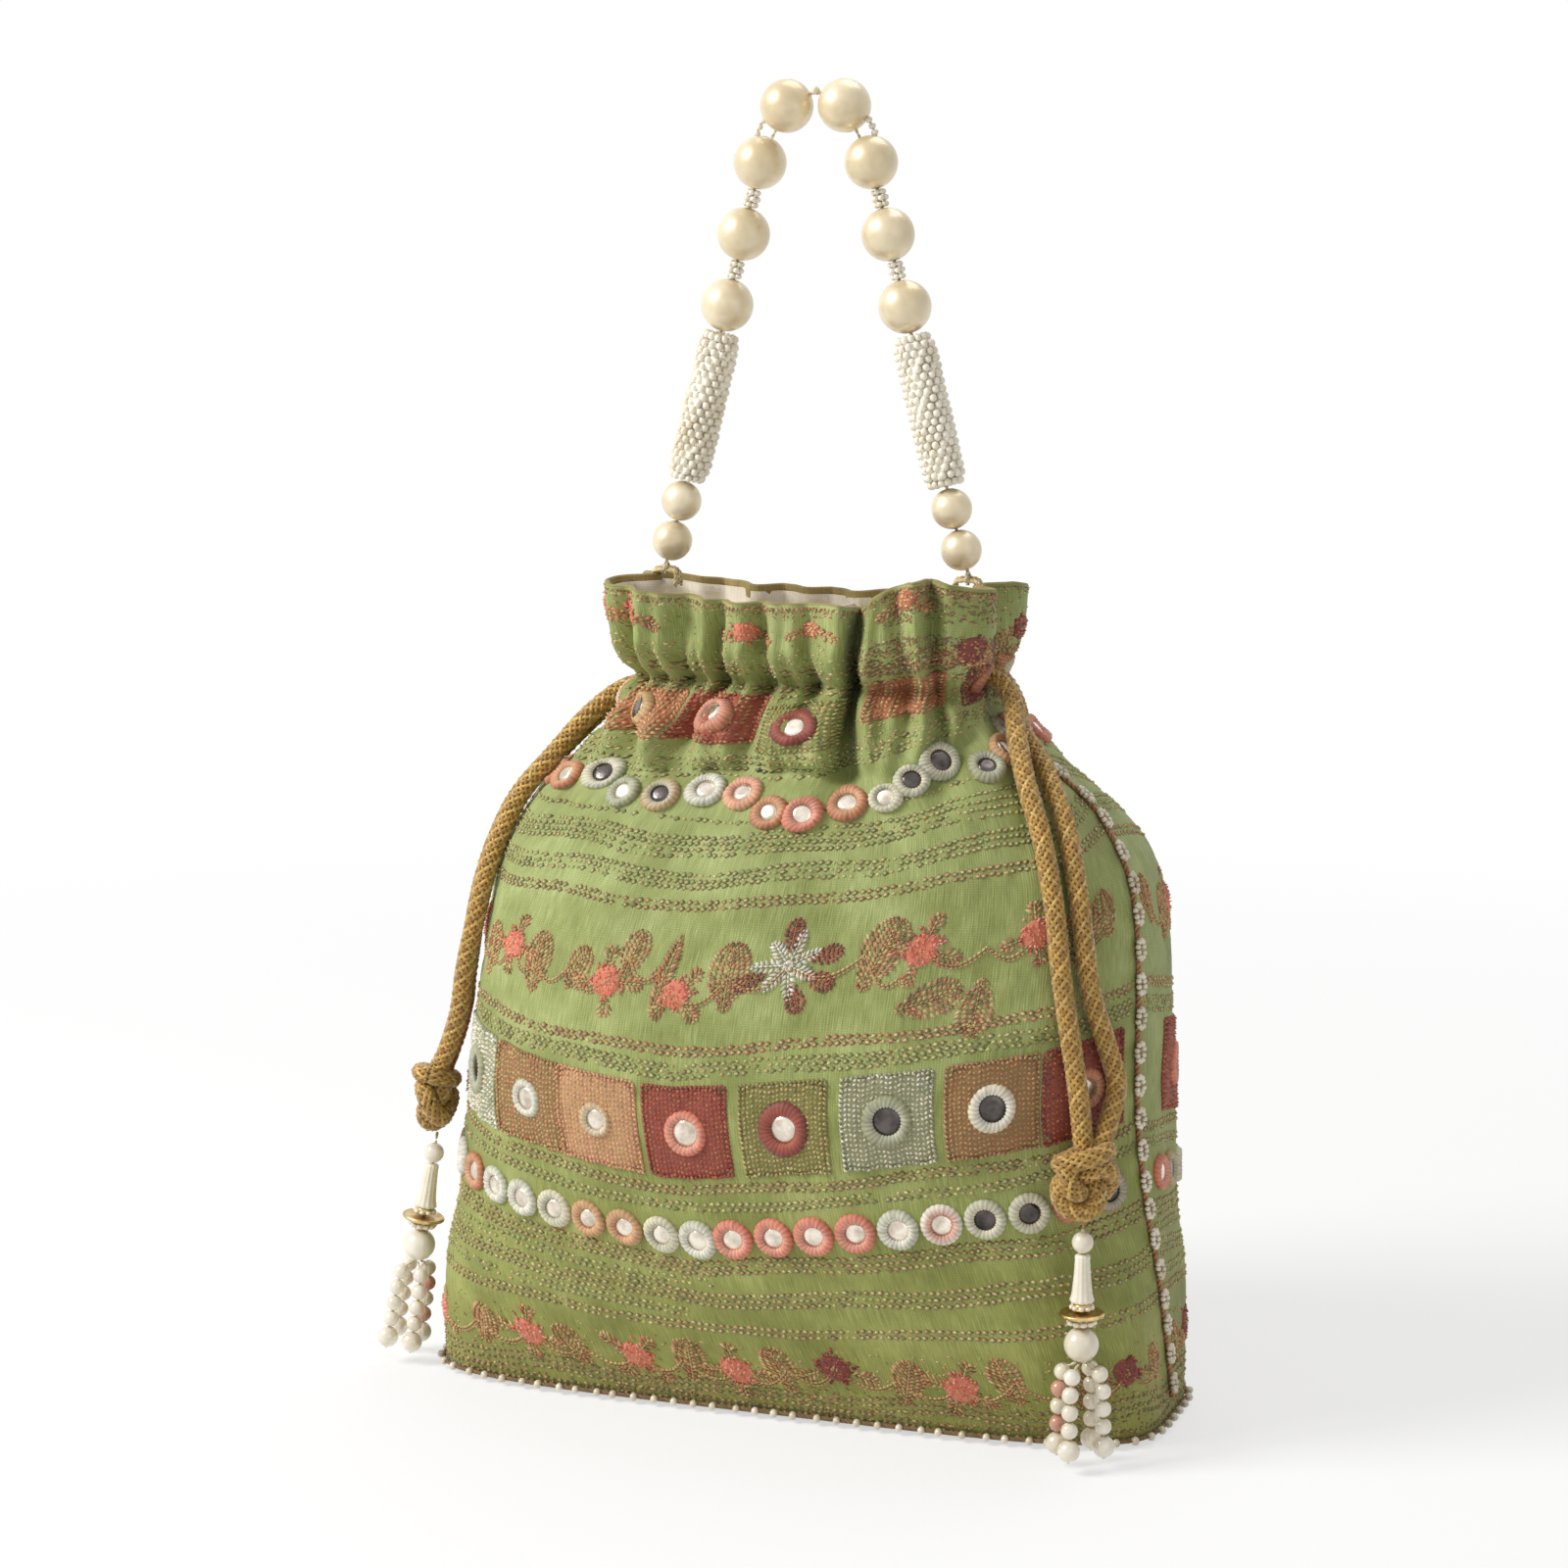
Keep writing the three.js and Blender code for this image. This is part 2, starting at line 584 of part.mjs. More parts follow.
function strand(angle, top) {
  const path = strandRoute(angle, top);
  const length = path.getLength();
  const stops = [[0, STRAND.thread]];
  const bulge = (middle, radius) => {
    for (const [offset, share] of [[-0.92, 0.4], [0, 1], [0.92, 0.4]]) {
      stops.push([(middle + offset * radius) / length, radius * share]);
    }
  };
  const end = length - STRAND.end / 2 - 0.3;
  for (let i = STRAND.beads; i > 0; i--) {
    bulge(end - STRAND.end / 2 - STRAND.pitch * i + STRAND.bead / 2, STRAND.bead / 2);
  }
  bulge(end, STRAND.end / 2);
  stops.push([1, STRAND.thread]);
  return beadString(path, stops, 5, new THREE.Vector3(...polar(1, angle + Math.PI / 2), 0));
}

function tassel(side, knot) {
  const named = (piece) => `${piece}_${side}`;
  const place = knotPlace(knot);
  group.add(place);

  // The tassel hangs from under the knot, leaning out where the pouch is wider below it.
  const hung = new THREE.Group();
  hung.position.z = knotDrop;
  hung.rotation.x = -THREE.MathUtils.degToRad(knot.tilt);
  place.add(hung);

  let z = -FIT;
  const capsule = (from, to) => {
    const half = TASSEL.thread;
    const tip = (end, way) => [[0, end], [half * 0.8, end + way * half * 0.4], [half, end + way * half]];
    return turned([...tip(to, 1), ...tip(from, -1).reverse()], 6);
  };
  add(named("tassel_link"), capsule(z, z - TASSEL.link), COLOURS.thread, hung);
  z -= TASSEL.link + FIT;

  const top = z;
  z -= 0.8;
  const stack = (piece, geometry, height, colour, finish) => {
    z -= height / 2;
    add(named(piece), geometry.translate(0, 0, z), colour, hung, finish);
    z -= height / 2 + FIT;
  };
  stack("tassel_bead", bead(TASSEL.bead, TASSEL.bore, 8, 5), TASSEL.bead, COLOURS.pearl, PEARLY);
  const { length, lip } = TRUMPET;
  const [wide, narrow] = [TRUMPET.bottom / 2, TRUMPET.top / 2];
  const trumpet = turned([
    [TASSEL.bore, -length / 2],
    [wide - lip / 2, -length / 2],
    [wide, -length / 2 + lip / 2],
    [wide - lip / 2, -length / 2 + lip],
    [wide - lip, -length / 4],
    [narrow, length / 2 - lip],
    [narrow, length / 2],
    [TASSEL.bore, length / 2],
  ], 10);
  stack("tassel_trumpet", trumpet, length, COLOURS.pearl, PEARLY);
  for (const { name, diameter, height } of RONDELLES) {
    const ring = { diameter, length: height, rings: 1, waist: Math.min(0.5, height / 4) };
    stack(`tassel_${name}`, ringedSleeve(ring, TASSEL.bore, 9), height, COLOURS.gold, GILT);
  }
  stack("tassel_pearl", bead(TASSEL.pearl, TASSEL.bore, 8, 6), TASSEL.pearl, COLOURS.pearl, PEARLY);
  add(named("tassel_thread"), capsule(top, z + FIT), COLOURS.thread, hung);

  const angles = [-1, 1].flatMap((way) => STRAND.turns.map((turn) => way * turn - Math.PI / 2));
  angles.forEach((angle, i) => {
    add(named(`tassel_strand_${i + 1}`), strand(angle, z), COLOURS.pearl, hung, PEARLY);
  });
}

tassel("right", RIGHT_KNOT);
tassel("left", LEFT_KNOT);

export default group;
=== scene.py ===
import math

import bpy
import numpy as np
from mathutils import Matrix, Vector


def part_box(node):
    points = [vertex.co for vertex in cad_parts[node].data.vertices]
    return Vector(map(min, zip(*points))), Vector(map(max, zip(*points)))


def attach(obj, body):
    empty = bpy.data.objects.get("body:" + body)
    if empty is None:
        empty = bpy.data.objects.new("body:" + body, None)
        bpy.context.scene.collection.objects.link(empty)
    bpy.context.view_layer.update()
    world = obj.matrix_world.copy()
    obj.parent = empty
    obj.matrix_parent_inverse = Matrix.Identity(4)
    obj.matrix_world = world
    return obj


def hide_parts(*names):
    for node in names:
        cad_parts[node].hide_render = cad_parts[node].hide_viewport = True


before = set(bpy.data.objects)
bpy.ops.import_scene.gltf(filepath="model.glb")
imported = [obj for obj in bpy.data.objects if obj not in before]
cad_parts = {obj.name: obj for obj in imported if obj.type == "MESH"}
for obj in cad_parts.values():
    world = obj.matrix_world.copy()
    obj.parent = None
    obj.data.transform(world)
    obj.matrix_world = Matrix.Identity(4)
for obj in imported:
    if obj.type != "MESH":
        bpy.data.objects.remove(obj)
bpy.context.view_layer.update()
rng = np.random.default_rng(11)
MM = 0.001
TURN = 2 * math.pi
WHITE = (1, 1, 1, 1)
SIDES = ("right", "left")

# Camera: a little to the right of the front and a little above
LENS, SENSOR = 85, 36
TARGET = np.array([-5.89, -2.87, 153.7])
AZIMUTH, ELEVATION, DISTANCE = math.radians(20), math.radians(9), 922
level = math.cos(ELEVATION)
aim = np.array([-math.sin(AZIMUTH) * level, math.cos(AZIMUTH) * level, -math.sin(ELEVATION)])
camera = bpy.data.objects.new("camera", bpy.data.cameras.new("camera"))
camera.data.lens = LENS
camera.data.sensor_width = SENSOR
camera.location = Vector((TARGET - aim * DISTANCE) * MM)
camera.rotation_euler = Vector(aim).to_track_quat("-Z", "Y").to_euler()
bpy.context.scene.collection.objects.link(camera)
bpy.context.scene.camera = camera
bpy.context.scene.view_settings.view_transform = "Standard"


# Materials
def srgb(r, g, b):
    """A colour as it looks on screen, 0 to 255, as linear values."""
    c = np.array([r, g, b]) / 255
    return tuple(np.where(c <= 0.04045, c / 12.92, ((c + 0.055) / 1.055) ** 2.4)) + (1.0,)


class Nodes:
    """A material with one Principled shader, and short ways to add nodes to it."""

    def __init__(self, name, **sockets):
        self.mat = bpy.data.materials.new(name)
        self.mat.use_nodes = True
        self.tree = self.mat.node_tree
        self.bsdf = self.tree.nodes["Principled BSDF"]
        for key, value in sockets.items():
            self.bsdf.inputs[key.replace("_", " ")].default_value = value

    def node(self, kind, inputs=(), **settings):
        node = self.tree.nodes.new("ShaderNode" + kind)
        for key, value in settings.items():
            setattr(node, key, value)
        for key, value in dict(inputs).items():
            if isinstance(value, bpy.types.NodeSocket):
                self.tree.links.new(value, node.inputs[key])
            else:
                node.inputs[key].default_value = value
        return node

    def link(self, socket, target):
        self.tree.links.new(socket, self.bsdf.inputs[target])

    def coords(self, kind="UV", scale=(1, 1, 1)):
        source = self.node("TexCoord").outputs[kind]
        return self.node("Mapping", {"Vector": source, "Scale": scale}).outputs["Vector"]

    def noise(self, vector, scale, detail):
        settings = {"Vector": vector, "Scale": scale, "Detail": detail, "Roughness": 0.55}
        return self.node("TexNoise", settings).outputs["Fac"]

    def wave(self, vector, scale, direction):
        settings = {"Vector": vector, "Scale": scale, "Distortion": 0.6, "Detail": 1.0}
        return self.node("TexWave", settings, bands_direction=direction).outputs["Fac"]

    def math(self, operation, a, b):
        return self.node("Math", {0: a, 1: b}, operation=operation).outputs[0]

    def ramp(self, fac, stops):
        ramp = self.node("ValToRGB", {"Fac": fac})
        band = ramp.color_ramp
        while len(band.elements) < len(stops):
            band.elements.new(0.5)
        for element, (place, colour) in zip(band.elements, stops):
            element.position = place
            element.color = colour
        return ramp.outputs["Color"]

    def multiply(self, a, b):
        """One colour times another."""
        return self.node("Mix", {0: 1.0, 6: a, 7: b}, data_type="RGBA", blend_type="MULTIPLY").outputs[2]

    def span(self, fac, low, high, source=(0.0, 1.0)):
        settings = {"From Min": source[0], "From Max": source[1], "To Min": low, "To Max": high}
        return self.node("MapRange", {"Value": fac, **settings}).outputs["Result"]

    def bump(self, height, strength, distance):
        settings = {"Height": height, "Strength": strength, "Distance": distance}
        self.link(self.node("Bump", settings).outputs["Normal"], "Normal")


# Heights on the cloth's UV map between which the foot's painted shade and browner tone, and the hem's colour,
# change
FOOT_SHADE_AND_TONE_SPAN = (1.0, 11.5)
HEM_SPAN = (23.2, 25.8)
HEM_TINT = (0.96, 0.6, 0.55, 1)


def weave(name, dark, mid, light, rough, sheen, foot=None):
    """Woven cloth: ribs of warp and weft with slubs, in a UV map laid out in centimetres.

    A foot is the tint of its lower part, which darkens and browns it: partly painted shade, partly the
    cloth's own tone. A cloth that has one has a brown hem too.
    """
    m = Nodes(name, Sheen_Weight=sheen, Sheen_Roughness=0.45)
    uv = m.coords()
    warp = m.wave(uv, 4.6, "X")
    weft = m.wave(uv, 5.2, "Y")
    slub = m.noise(m.coords(scale=(34, 1.6, 1)), 1.0, 2.0)
    patch = m.noise(uv, 0.55, 4.0)
    tone = m.math("ADD", m.math("MULTIPLY", slub, 0.5), m.math("MULTIPLY", patch, 0.5))
    colour = m.ramp(tone, [(0.36, dark), (0.5, mid), (0.64, light)])
    # the foot tint darkens the lower part: partly painted shade, partly the cloth's browner tone
    if foot:
        height = m.node("SeparateXYZ", {"Vector": uv}).outputs["Y"]
        for span, low, high in ((FOOT_SHADE_AND_TONE_SPAN, foot, WHITE), (HEM_SPAN, WHITE, HEM_TINT)):
            colour = m.multiply(colour, m.ramp(m.span(height, 0.0, 1.0, span), [(0.0, low), (1.0, high)]))
    rib = m.span(m.math("MULTIPLY", warp, weft), 0.86, 1.06)
    m.link(m.multiply(colour, rib), "Base Color")
    m.link(m.span(slub, rough - 0.08, rough + 0.1), "Roughness")
    m.bump(m.math("ADD", warp, weft), 0.22, 0.0002)
    return m.mat


def thread(name, rough=0.6, metal=0.0, sheen=0.2, scale=900.0):
    """Yarn that takes its dye from the mesh, with fibres showing as fine streaks."""
    m = Nodes(name, Sheen_Weight=sheen, Sheen_Roughness=0.4, Metallic=metal)
    dye = m.node("VertexColor", layer_name="dye").outputs["Color"]
    fibre = m.noise(m.coords("Object"), scale, 2.0)
    m.link(m.multiply(dye, m.span(fibre, 0.72, 1.24)), "Base Color")
    m.link(m.span(fibre, rough - 0.1, rough + 0.12), "Roughness")
    m.bump(fibre, 0.35, 0.0002)
    return m.mat


def nacre(name, dark, light, rough, metal=0.0, coat=(0.6, 0.06), tint=WHITE):
    """Pearl and glazed bead: cream with a faint drift of tint under a clear coat."""
    m = Nodes(name, IOR=1.53, Metallic=metal, Coat_Tint=tint, Coat_Weight=coat[0],
              Coat_Roughness=coat[1], Coat_IOR=1.5)
    place = m.coords("Object")
    drift = m.noise(place, 95.0, 3.0)
    fine = m.noise(place, 1400.0, 2.0)
    m.link(m.ramp(drift, [(0.34, dark), (0.66, light)]), "Base Color")
    m.link(m.span(fine, rough - 0.06, rough + 0.08), "Roughness")
    m.bump(fine, 0.05, 0.0001)
    return m.mat


def clouded(m, scale, stops, rough, bump):
    """One noise that sets a metal's colour, roughness and relief."""
    cloud = m.noise(m.coords("Object"), scale, 3.0)
    m.link(m.ramp(cloud, stops), "Base Color")
    m.link(m.span(cloud, *rough), "Roughness")
    m.bump(cloud, *bump)
    return m.mat


def looking_glass(name, dark, light):
    """The small glass mirrors sewn into the cloth: hand cut, a little cloudy and not quite flat."""
    m = Nodes(name, Metallic=0.92, Coat_Weight=0.4, Coat_Roughness=0.05)
    return clouded(m, 260.0, [(0.3, dark), (0.62, light)], (0.34, 0.12), (0.25, 0.0006))


# the last colour is the foot tint: painted shade darkening the lower cloth, with a browner tone of the cloth
GREEN = weave("green_cloth", srgb(128, 136, 68), srgb(154, 164, 94), srgb(182, 192, 126), 0.66, 0.12,
              (0.84, 0.77, 0.48, 1))
CREAM = weave("cream_lining", srgb(214, 200, 174), srgb(228, 216, 194), srgb(238, 229, 210), 0.55, 0.3)
YARN = thread("embroidery_yarn", 0.62)
GOLD_YARN = thread("gold_yarn", 0.46, 0.12, 0.5, 700.0)
PEARL = nacre("pearl", srgb(214, 196, 158), srgb(240, 228, 200), 0.36, 0.3, (0.5, 0.1), (1, 0.98, 0.94, 1))
PALE_PEARL = nacre("pale_pearl", srgb(222, 211, 186), srgb(243, 236, 220), 0.18, 0.1)
SEED = nacre("seed_bead", srgb(232, 221, 196), srgb(250, 244, 228), 0.26)
PALE_SEED = nacre("pale_seed", srgb(208, 195, 168), srgb(240, 231, 212), 0.26)
BLUSH = nacre("blush_bead", srgb(196, 138, 116), srgb(214, 166, 142), 0.28)
GILT = clouded(Nodes("gilt_metal", Metallic=1.0), 420.0,
               [(0.35, srgb(176, 142, 84)), (0.65, srgb(228, 202, 142))], (0.42, 0.22), (0.08, 0.0002))
GLASS = looking_glass("mirror_glass", srgb(186, 172, 154), srgb(246, 236, 220))
# dim mirror glass: its dark colour is a painted dark reflection
DARK_REFLECTION_GLASS = looking_glass("mirror_glass_painted_dark_reflection", srgb(42, 38, 38), srgb(98, 90, 86))


# Mesh helpers; all lengths in millimetres until an object is made
def build(name, verts, faces, material, body, uv=None, dye=None):
    mesh = bpy.data.meshes.new(name)
    mesh.from_pydata((np.asarray(verts, float) * MM).tolist(), [], [list(map(int, f)) for f in faces])
    if uv is not None:
        loops = np.empty(len(mesh.loops), int)
        mesh.loops.foreach_get("vertex_index", loops)
        mesh.uv_layers.new(name="UVMap").data.foreach_set("uv", np.asarray(uv)[loops].ravel())
    if dye is not None:
        colours = np.c_[np.asarray(dye)[:, :3], np.ones(len(dye))]
        mesh.color_attributes.new("dye", "FLOAT_COLOR", "POINT").data.foreach_set("color", colours.ravel())
    mesh.polygons.foreach_set("use_smooth", [True] * len(mesh.polygons))
    mesh.materials.append(material)
    mesh.update()
    obj = bpy.data.objects.new(name, mesh)
    bpy.context.scene.collection.objects.link(obj)
    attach(obj, body)
    return obj


class Heap:
    """Collects meshes, to be made into one object."""

    def __init__(self):
        self.verts, self.faces, self.dye, self.count = [], [], [], 0

    def add(self, verts, faces, dye=(1, 1, 1)):
        verts = np.asarray(verts, float).reshape(-1, 3)
        self.faces.extend([[i + self.count for i in f] for f in faces])
        self.verts.append(verts)
        self.dye.append(np.broadcast_to(np.asarray(dye, float), verts.shape))
        self.count += len(verts)

    def make(self, name, material, body, slot):
        dye = np.concatenate(self.dye)
        return build(name, np.concatenate(self.verts), self.faces, material, body, dye=dye)


def unit(v):
    v = np.asarray(v, float)
    return v / np.maximum(np.linalg.norm(v, axis=-1, keepdims=True), 1e-9)


def smooth(x, low, high):
    """A soft step from 0 at low to 1 at high."""
    t = np.clip((x - low) / (high - low), 0, 1)
    return t * t * (3 - 2 * t)


def bell(x, middle, reach):
    """A soft hump, 1 in its middle."""
    return np.exp(-((x - middle) / reach) ** 2)


def outward(way):
    """The level direction to the right of a way."""
    return np.stack([way[..., 1], -way[..., 0], 0 * way[..., 0]], -1)


def distances(path):
    """How far along a path each of its points lies."""
    return np.r_[0, np.cumsum(np.linalg.norm(np.diff(path, axis=0), axis=1))]


def walk(path, along, at):
    """The points of a path at given distances along it."""
    return np.stack([np.interp(at, along, path[:, k]) for k in range(path.shape[1])], -1)


def circle(side, other, angle):
    """Directions at angles round a path, one for each of its points."""
    return side * np.cos(angle)[:, None] + other * np.sin(angle)[:, None]


def bridge(low, high):
    """Faces between two closed rings of vertex numbers, of which one may be a single point."""
    sides = max(len(low), len(high))
    faces = []
    for s in range(sides):
        t = (s + 1) % sides
        first = [low[s], low[t]] if len(low) > 1 else [low[0]]
        last = [high[t], high[s]] if len(high) > 1 else [high[0]]
        faces.append(first + last)
    return faces


def quads(a, b, c, d):
    """Faces from four arrays of vertex numbers."""
    return np.stack([a, b, c, d], -1).reshape(-1, 4)


def shell(outer, inner):
    """A closed body between two grids of points."""
    rows, cols = outer.shape[:2]
    index = np.arange(rows * cols).reshape(rows, cols)
    below = index + rows * cols
    faces = [
        quads(index[:-1, :-1], index[:-1, 1:], index[1:, 1:], index[1:, :-1]),
        quads(below[:-1, :-1], below[1:, :-1], below[1:, 1:], below[:-1, 1:]),
        quads(index[:-1, 0], index[1:, 0], below[1:, 0], below[:-1, 0]),
        quads(index[:-1, -1], below[:-1, -1], below[1:, -1], index[1:, -1]),
        quads(index[0, :-1], below[0, :-1], below[0, 1:], index[0, 1:]),
        quads(index[-1, :-1], index[-1, 1:], below[-1, 1:], below[-1, :-1]),
    ]
    return np.concatenate([outer.reshape(-1, 3), inner.reshape(-1, 3)]), np.concatenate(faces)


def bowl(outer, inner):
    """A closed body between two grids of rings, each with its first ring filled in."""
    count = outer.shape[0] * outer.shape[1]
    index = np.arange(count).reshape(outer.shape[:2])
    turn = np.roll(index, -1, 1)
    faces = [
        quads(index[:-1], turn[:-1], turn[1:], index[1:]),
        quads(index[:-1], index[1:], turn[1:], turn[:-1]) + count,
        quads(index[-1], turn[-1], turn[-1] + count, index[-1] + count),
    ]
    caps = [index[0].tolist()[::-1], (index[0] + count).tolist()]
    verts = np.concatenate([outer.reshape(-1, 3), inner.reshape(-1, 3)])
    return verts, np.concatenate(faces).tolist() + caps


def lathe(profile, sides, ripple=0.0, lobes=0):
    """(radius, height) turned round Z into a closed shape; a profile end on the axis closes in a point."""
    verts, faces, rings = [], [], []
    for r, z in profile:
        start = len(verts)
        if r < 1e-6:
            verts.append((0, 0, z))
        else:
            for s in range(sides):
                a = TURN * s / sides
                k = r * (1 + ripple * math.cos(lobes * a))
                verts.append((k * math.cos(a), k * math.sin(a), z))
        rings.append(list(range(start, len(verts))))
    for low, high in zip(rings, rings[1:]):
        faces += bridge(low, high)
    if len(rings[0]) > 1:
        faces.append(rings[0][::-1])
    if len(rings[-1]) > 1:
        faces.append(rings[-1])
    return np.array(verts), faces


def bead(radius, bore, sides, rows, squash=1.0):
    """A round bead with a dimpled bore at each pole."""
    rim = math.acos(bore / radius)
    dimple = radius * math.sin(rim) * squash - 0.45 * radius
    ball = [(radius * math.cos(a), radius * math.sin(a) * squash) for a in np.linspace(-rim, rim, rows + 1)]
    return lathe([(0, -dimple), *ball, (0, dimple)], sides)


def turn_to(axis, spin=0.0):
    """A rotation that takes +Z to axis."""
    z = unit(axis)
    x = unit(np.cross((0, 1, 0) if abs(z[1]) < 0.9 else (1, 0, 0), z))
    y = np.cross(z, x)
    c, s = math.cos(spin), math.sin(spin)
    return np.stack([c * x + s * y, c * y - s * x, z], 1)


def put(heap, shape, at, turn, scale=1.0):
    verts, faces = shape
    heap.add((verts * scale) @ turn.T + np.asarray(at), faces)


def route(points, step):
    """A smooth curve through the points (centripetal), sampled evenly about every step."""
    p = np.asarray(points, float)
    p = np.vstack([2 * p[0] - p[1], p, 2 * p[-1] - p[-2]])
    out = []
    for a, b, c, d in zip(p, p[1:], p[2:], p[3:]):
        t0, t1 = 0.0, np.linalg.norm(b - a) ** 0.5
        t2 = t1 + np.linalg.norm(c - b) ** 0.5
        t3 = t2 + np.linalg.norm(d - c) ** 0.5
        t = np.linspace(t1, t2, 40, endpoint=False)[:, None]
        ab = (t1 - t) / (t1 - t0) * a + (t - t0) / (t1 - t0) * b
        bc = (t2 - t) / (t2 - t1) * b + (t - t1) / (t2 - t1) * c
        cd = (t3 - t) / (t3 - t2) * c + (t - t2) / (t3 - t2) * d
        abc = (t2 - t) / (t2 - t0) * ab + (t - t0) / (t2 - t0) * bc
        bcd = (t3 - t) / (t3 - t1) * bc + (t - t1) / (t3 - t1) * cd
        out.append((t2 - t) / (t2 - t1) * abc + (t - t1) / (t2 - t1) * bcd)
    out = np.vstack(out + [p[-2:-1]])
    along = distances(out)
    return walk(out, along, np.linspace(0, along[-1], max(3, int(round(along[-1] / step)) + 1)))


def frames(path, closed=False):
    """Two side directions that turn as little as possible along a path."""
    if closed:
        tangent = unit(np.roll(path, -1, 0) - np.roll(path, 1, 0))
    else:
        tangent = unit(np.gradient(path, axis=0))
    side = np.empty_like(path)
    first = np.cross(tangent[0], (0.3, 0.2, 0.93) if abs(tangent[0][2]) < 0.8 else (0.9, 0.3, 0.1))
    side[0] = unit(first)
    for i in range(1, len(path)):
        side[i] = unit(side[i - 1] - tangent[i] * np.dot(side[i - 1], tangent[i]))
    return side, np.cross(tangent, side)


def tube(heap, path, radius, sides, dye, closed=False):
    side, other = frames(path, closed)
    a = np.arange(sides) * TURN / sides
    ring = side[:, None] * np.cos(a)[None, :, None] + other[:, None] * np.sin(a)[None, :, None]
    rings = np.arange(len(path) * sides).reshape(-1, sides).tolist()
    faces = []
    for low, high in zip(rings, rings[1:] + rings[:1] if closed else rings[1:]):
        faces += bridge(low, high)
    if not closed:
        faces += [rings[0][::-1], rings[-1]]
    heap.add(path[:, None] + ring * radius, faces, dye)


def twine(heap, path, radius, dye, plies=2, lead=3.0):
    """A thin twisted thread."""
    path = np.asarray(path, float)
    along = distances(path)
    even = np.linspace(0, along[-1], max(4, int(along[-1] / 0.5)))
    path = walk(path, along, even)
    side, other = frames(path)
    for k in range(plies):
        angle = even / lead * TURN + TURN * k / plies
        centre = path + circle(side, other, angle) * radius * 0.48
        tube(heap, centre, radius * 0.56, 4, np.asarray(dye) * (0.92 + 0.16 * k))


# Drawstrings: two free ends on each side, from the slit down to the knot
GOLDS = [np.array(srgb(*rgb)[:3]) for rgb in ((190, 150, 72), (174, 134, 60), (200, 164, 90), (158, 118, 52))]
CORD, CORD_STEP, GUIDE_STEPS = 5.2, 0.65, 26
STRANDS, STRAND_SHARE, STRAND_SWAY = 8, 0.105, 0.2
CORDS = {
    "right_front": [
        (43, -3.1, 183), (49, -3.8, 182.4), (54.4, -8.4, 178.8), (58, -16, 171.2), (63.5, -25.5, 160.5),
        (69, -32, 150), (74, -37.7, 134), (76.3, -39.4, 119), (78.4, -39.2, 105), (80.2, -38.5, 93),
        (81.8, -39.4, 83), (83, -41, 75)],
    "right_back": [
        (43, 3.1, 183), (48.5, 2, 182), (53.5, -2, 177.2), (57.6, -8.5, 170.2), (64.5, -15, 163.8),
        (72.8, -25.4, 152), (77.3, -31.3, 140.5), (80.4, -34.7, 126.5), (82.3, -34.8, 114),
        (85.4, -32.6, 102), (87.8, -30.6, 91), (87, -34.6, 83), (85.6, -39, 76.5)],
    "left_front": [
        (-40.5, -3.1, 177), (-47, -3.8, 176.6), (-54, -9.6, 171), (-62, -16.3, 160.7),
        (-69.6, -21.7, 149.8), (-75.6, -26.1, 134.2), (-79.4, -27.1, 119.7), (-83.3, -25.7, 105.5),
        (-86.4, -23.2, 93.5), (-90.6, -21.6, 83), (-94.4, -21.6, 76)],
    "left_back": [
        (-40.5, 3.1, 177), (-47, 2, 176.6), (-54, -2.4, 171), (-63.3, -8.4, 160.8), (-72.8, -13.1, 149.9),
        (-79.8, -16.5, 134.2), (-83.7, -17.1, 119.8), (-86.9, -15.4, 105.5), (-89.3, -13.7, 93.5),
        (-92.2, -14.4, 83), (-95, -17, 74)],
}
# Each knot: its middle, the way it faces and the tilt of its tassel, in degrees
KNOTS = {"right": ((83, -41.5, 70), -48, 0), "left": ((-95, -18.5, 70), 190, 10)}
KNOT_DROP = 9.0
WRAP = 4.8


def braid(heap, path, diameter, lead=15.0, closed=False):
    """A round plaited cord: two sets of strands wound opposite ways, passing over and under each other."""
    along = distances(path)
    total = along[-1] + (np.linalg.norm(path[0] - path[-1]) if closed else 0)
    turns = max(1, round(total / lead)) if closed else total / lead
    side, other = frames(path, closed)
    thick = diameter * STRAND_SHARE
    reach = diameter / 2 - thick - 0.7 * STRAND_SWAY
    phase = along / total * turns * TURN
    twisted = 0.0
    if closed:
        last = side[-1] - unit(path[0] - path[-1]) * np.dot(side[-1], unit(path[0] - path[-1]))
        across = np.dot(np.cross(side[0], last), unit(path[1] - path[-1]))
        twisted = math.atan2(across, np.dot(side[0], last))
    fix = -along / total * twisted
    for way in (1, -1):
        for k in range(STRANDS):
            angle = way * phase + TURN * k / STRANDS + fix
            lift = reach + way * STRAND_SWAY * np.cos(STRANDS * phase)
            dye = GOLDS[(k + (way > 0)) % 4] * rng.uniform(0.85, 1.15)
            tube(heap, path + circle(side, other, angle) * lift[:, None], thick, 4, dye, closed)
    # the core shows only between the strands; its darker colour is painted shade in the gaps
    core = path[::6] if closed else path[[*range(0, len(path) - 1, 6), -1]]
    tube(heap, core, reach - thick * 0.3, 6, GOLDS[3] * 0.6, closed)


def knot_turn(side, tilted):
    _, facing, tilt = KNOTS[side]
    turn = Matrix.Rotation(math.radians(facing + 90), 3, "Z")
    if tilted:
        turn = turn @ Matrix.Rotation(-math.radians(tilt), 3, "X")
    return np.array(turn)


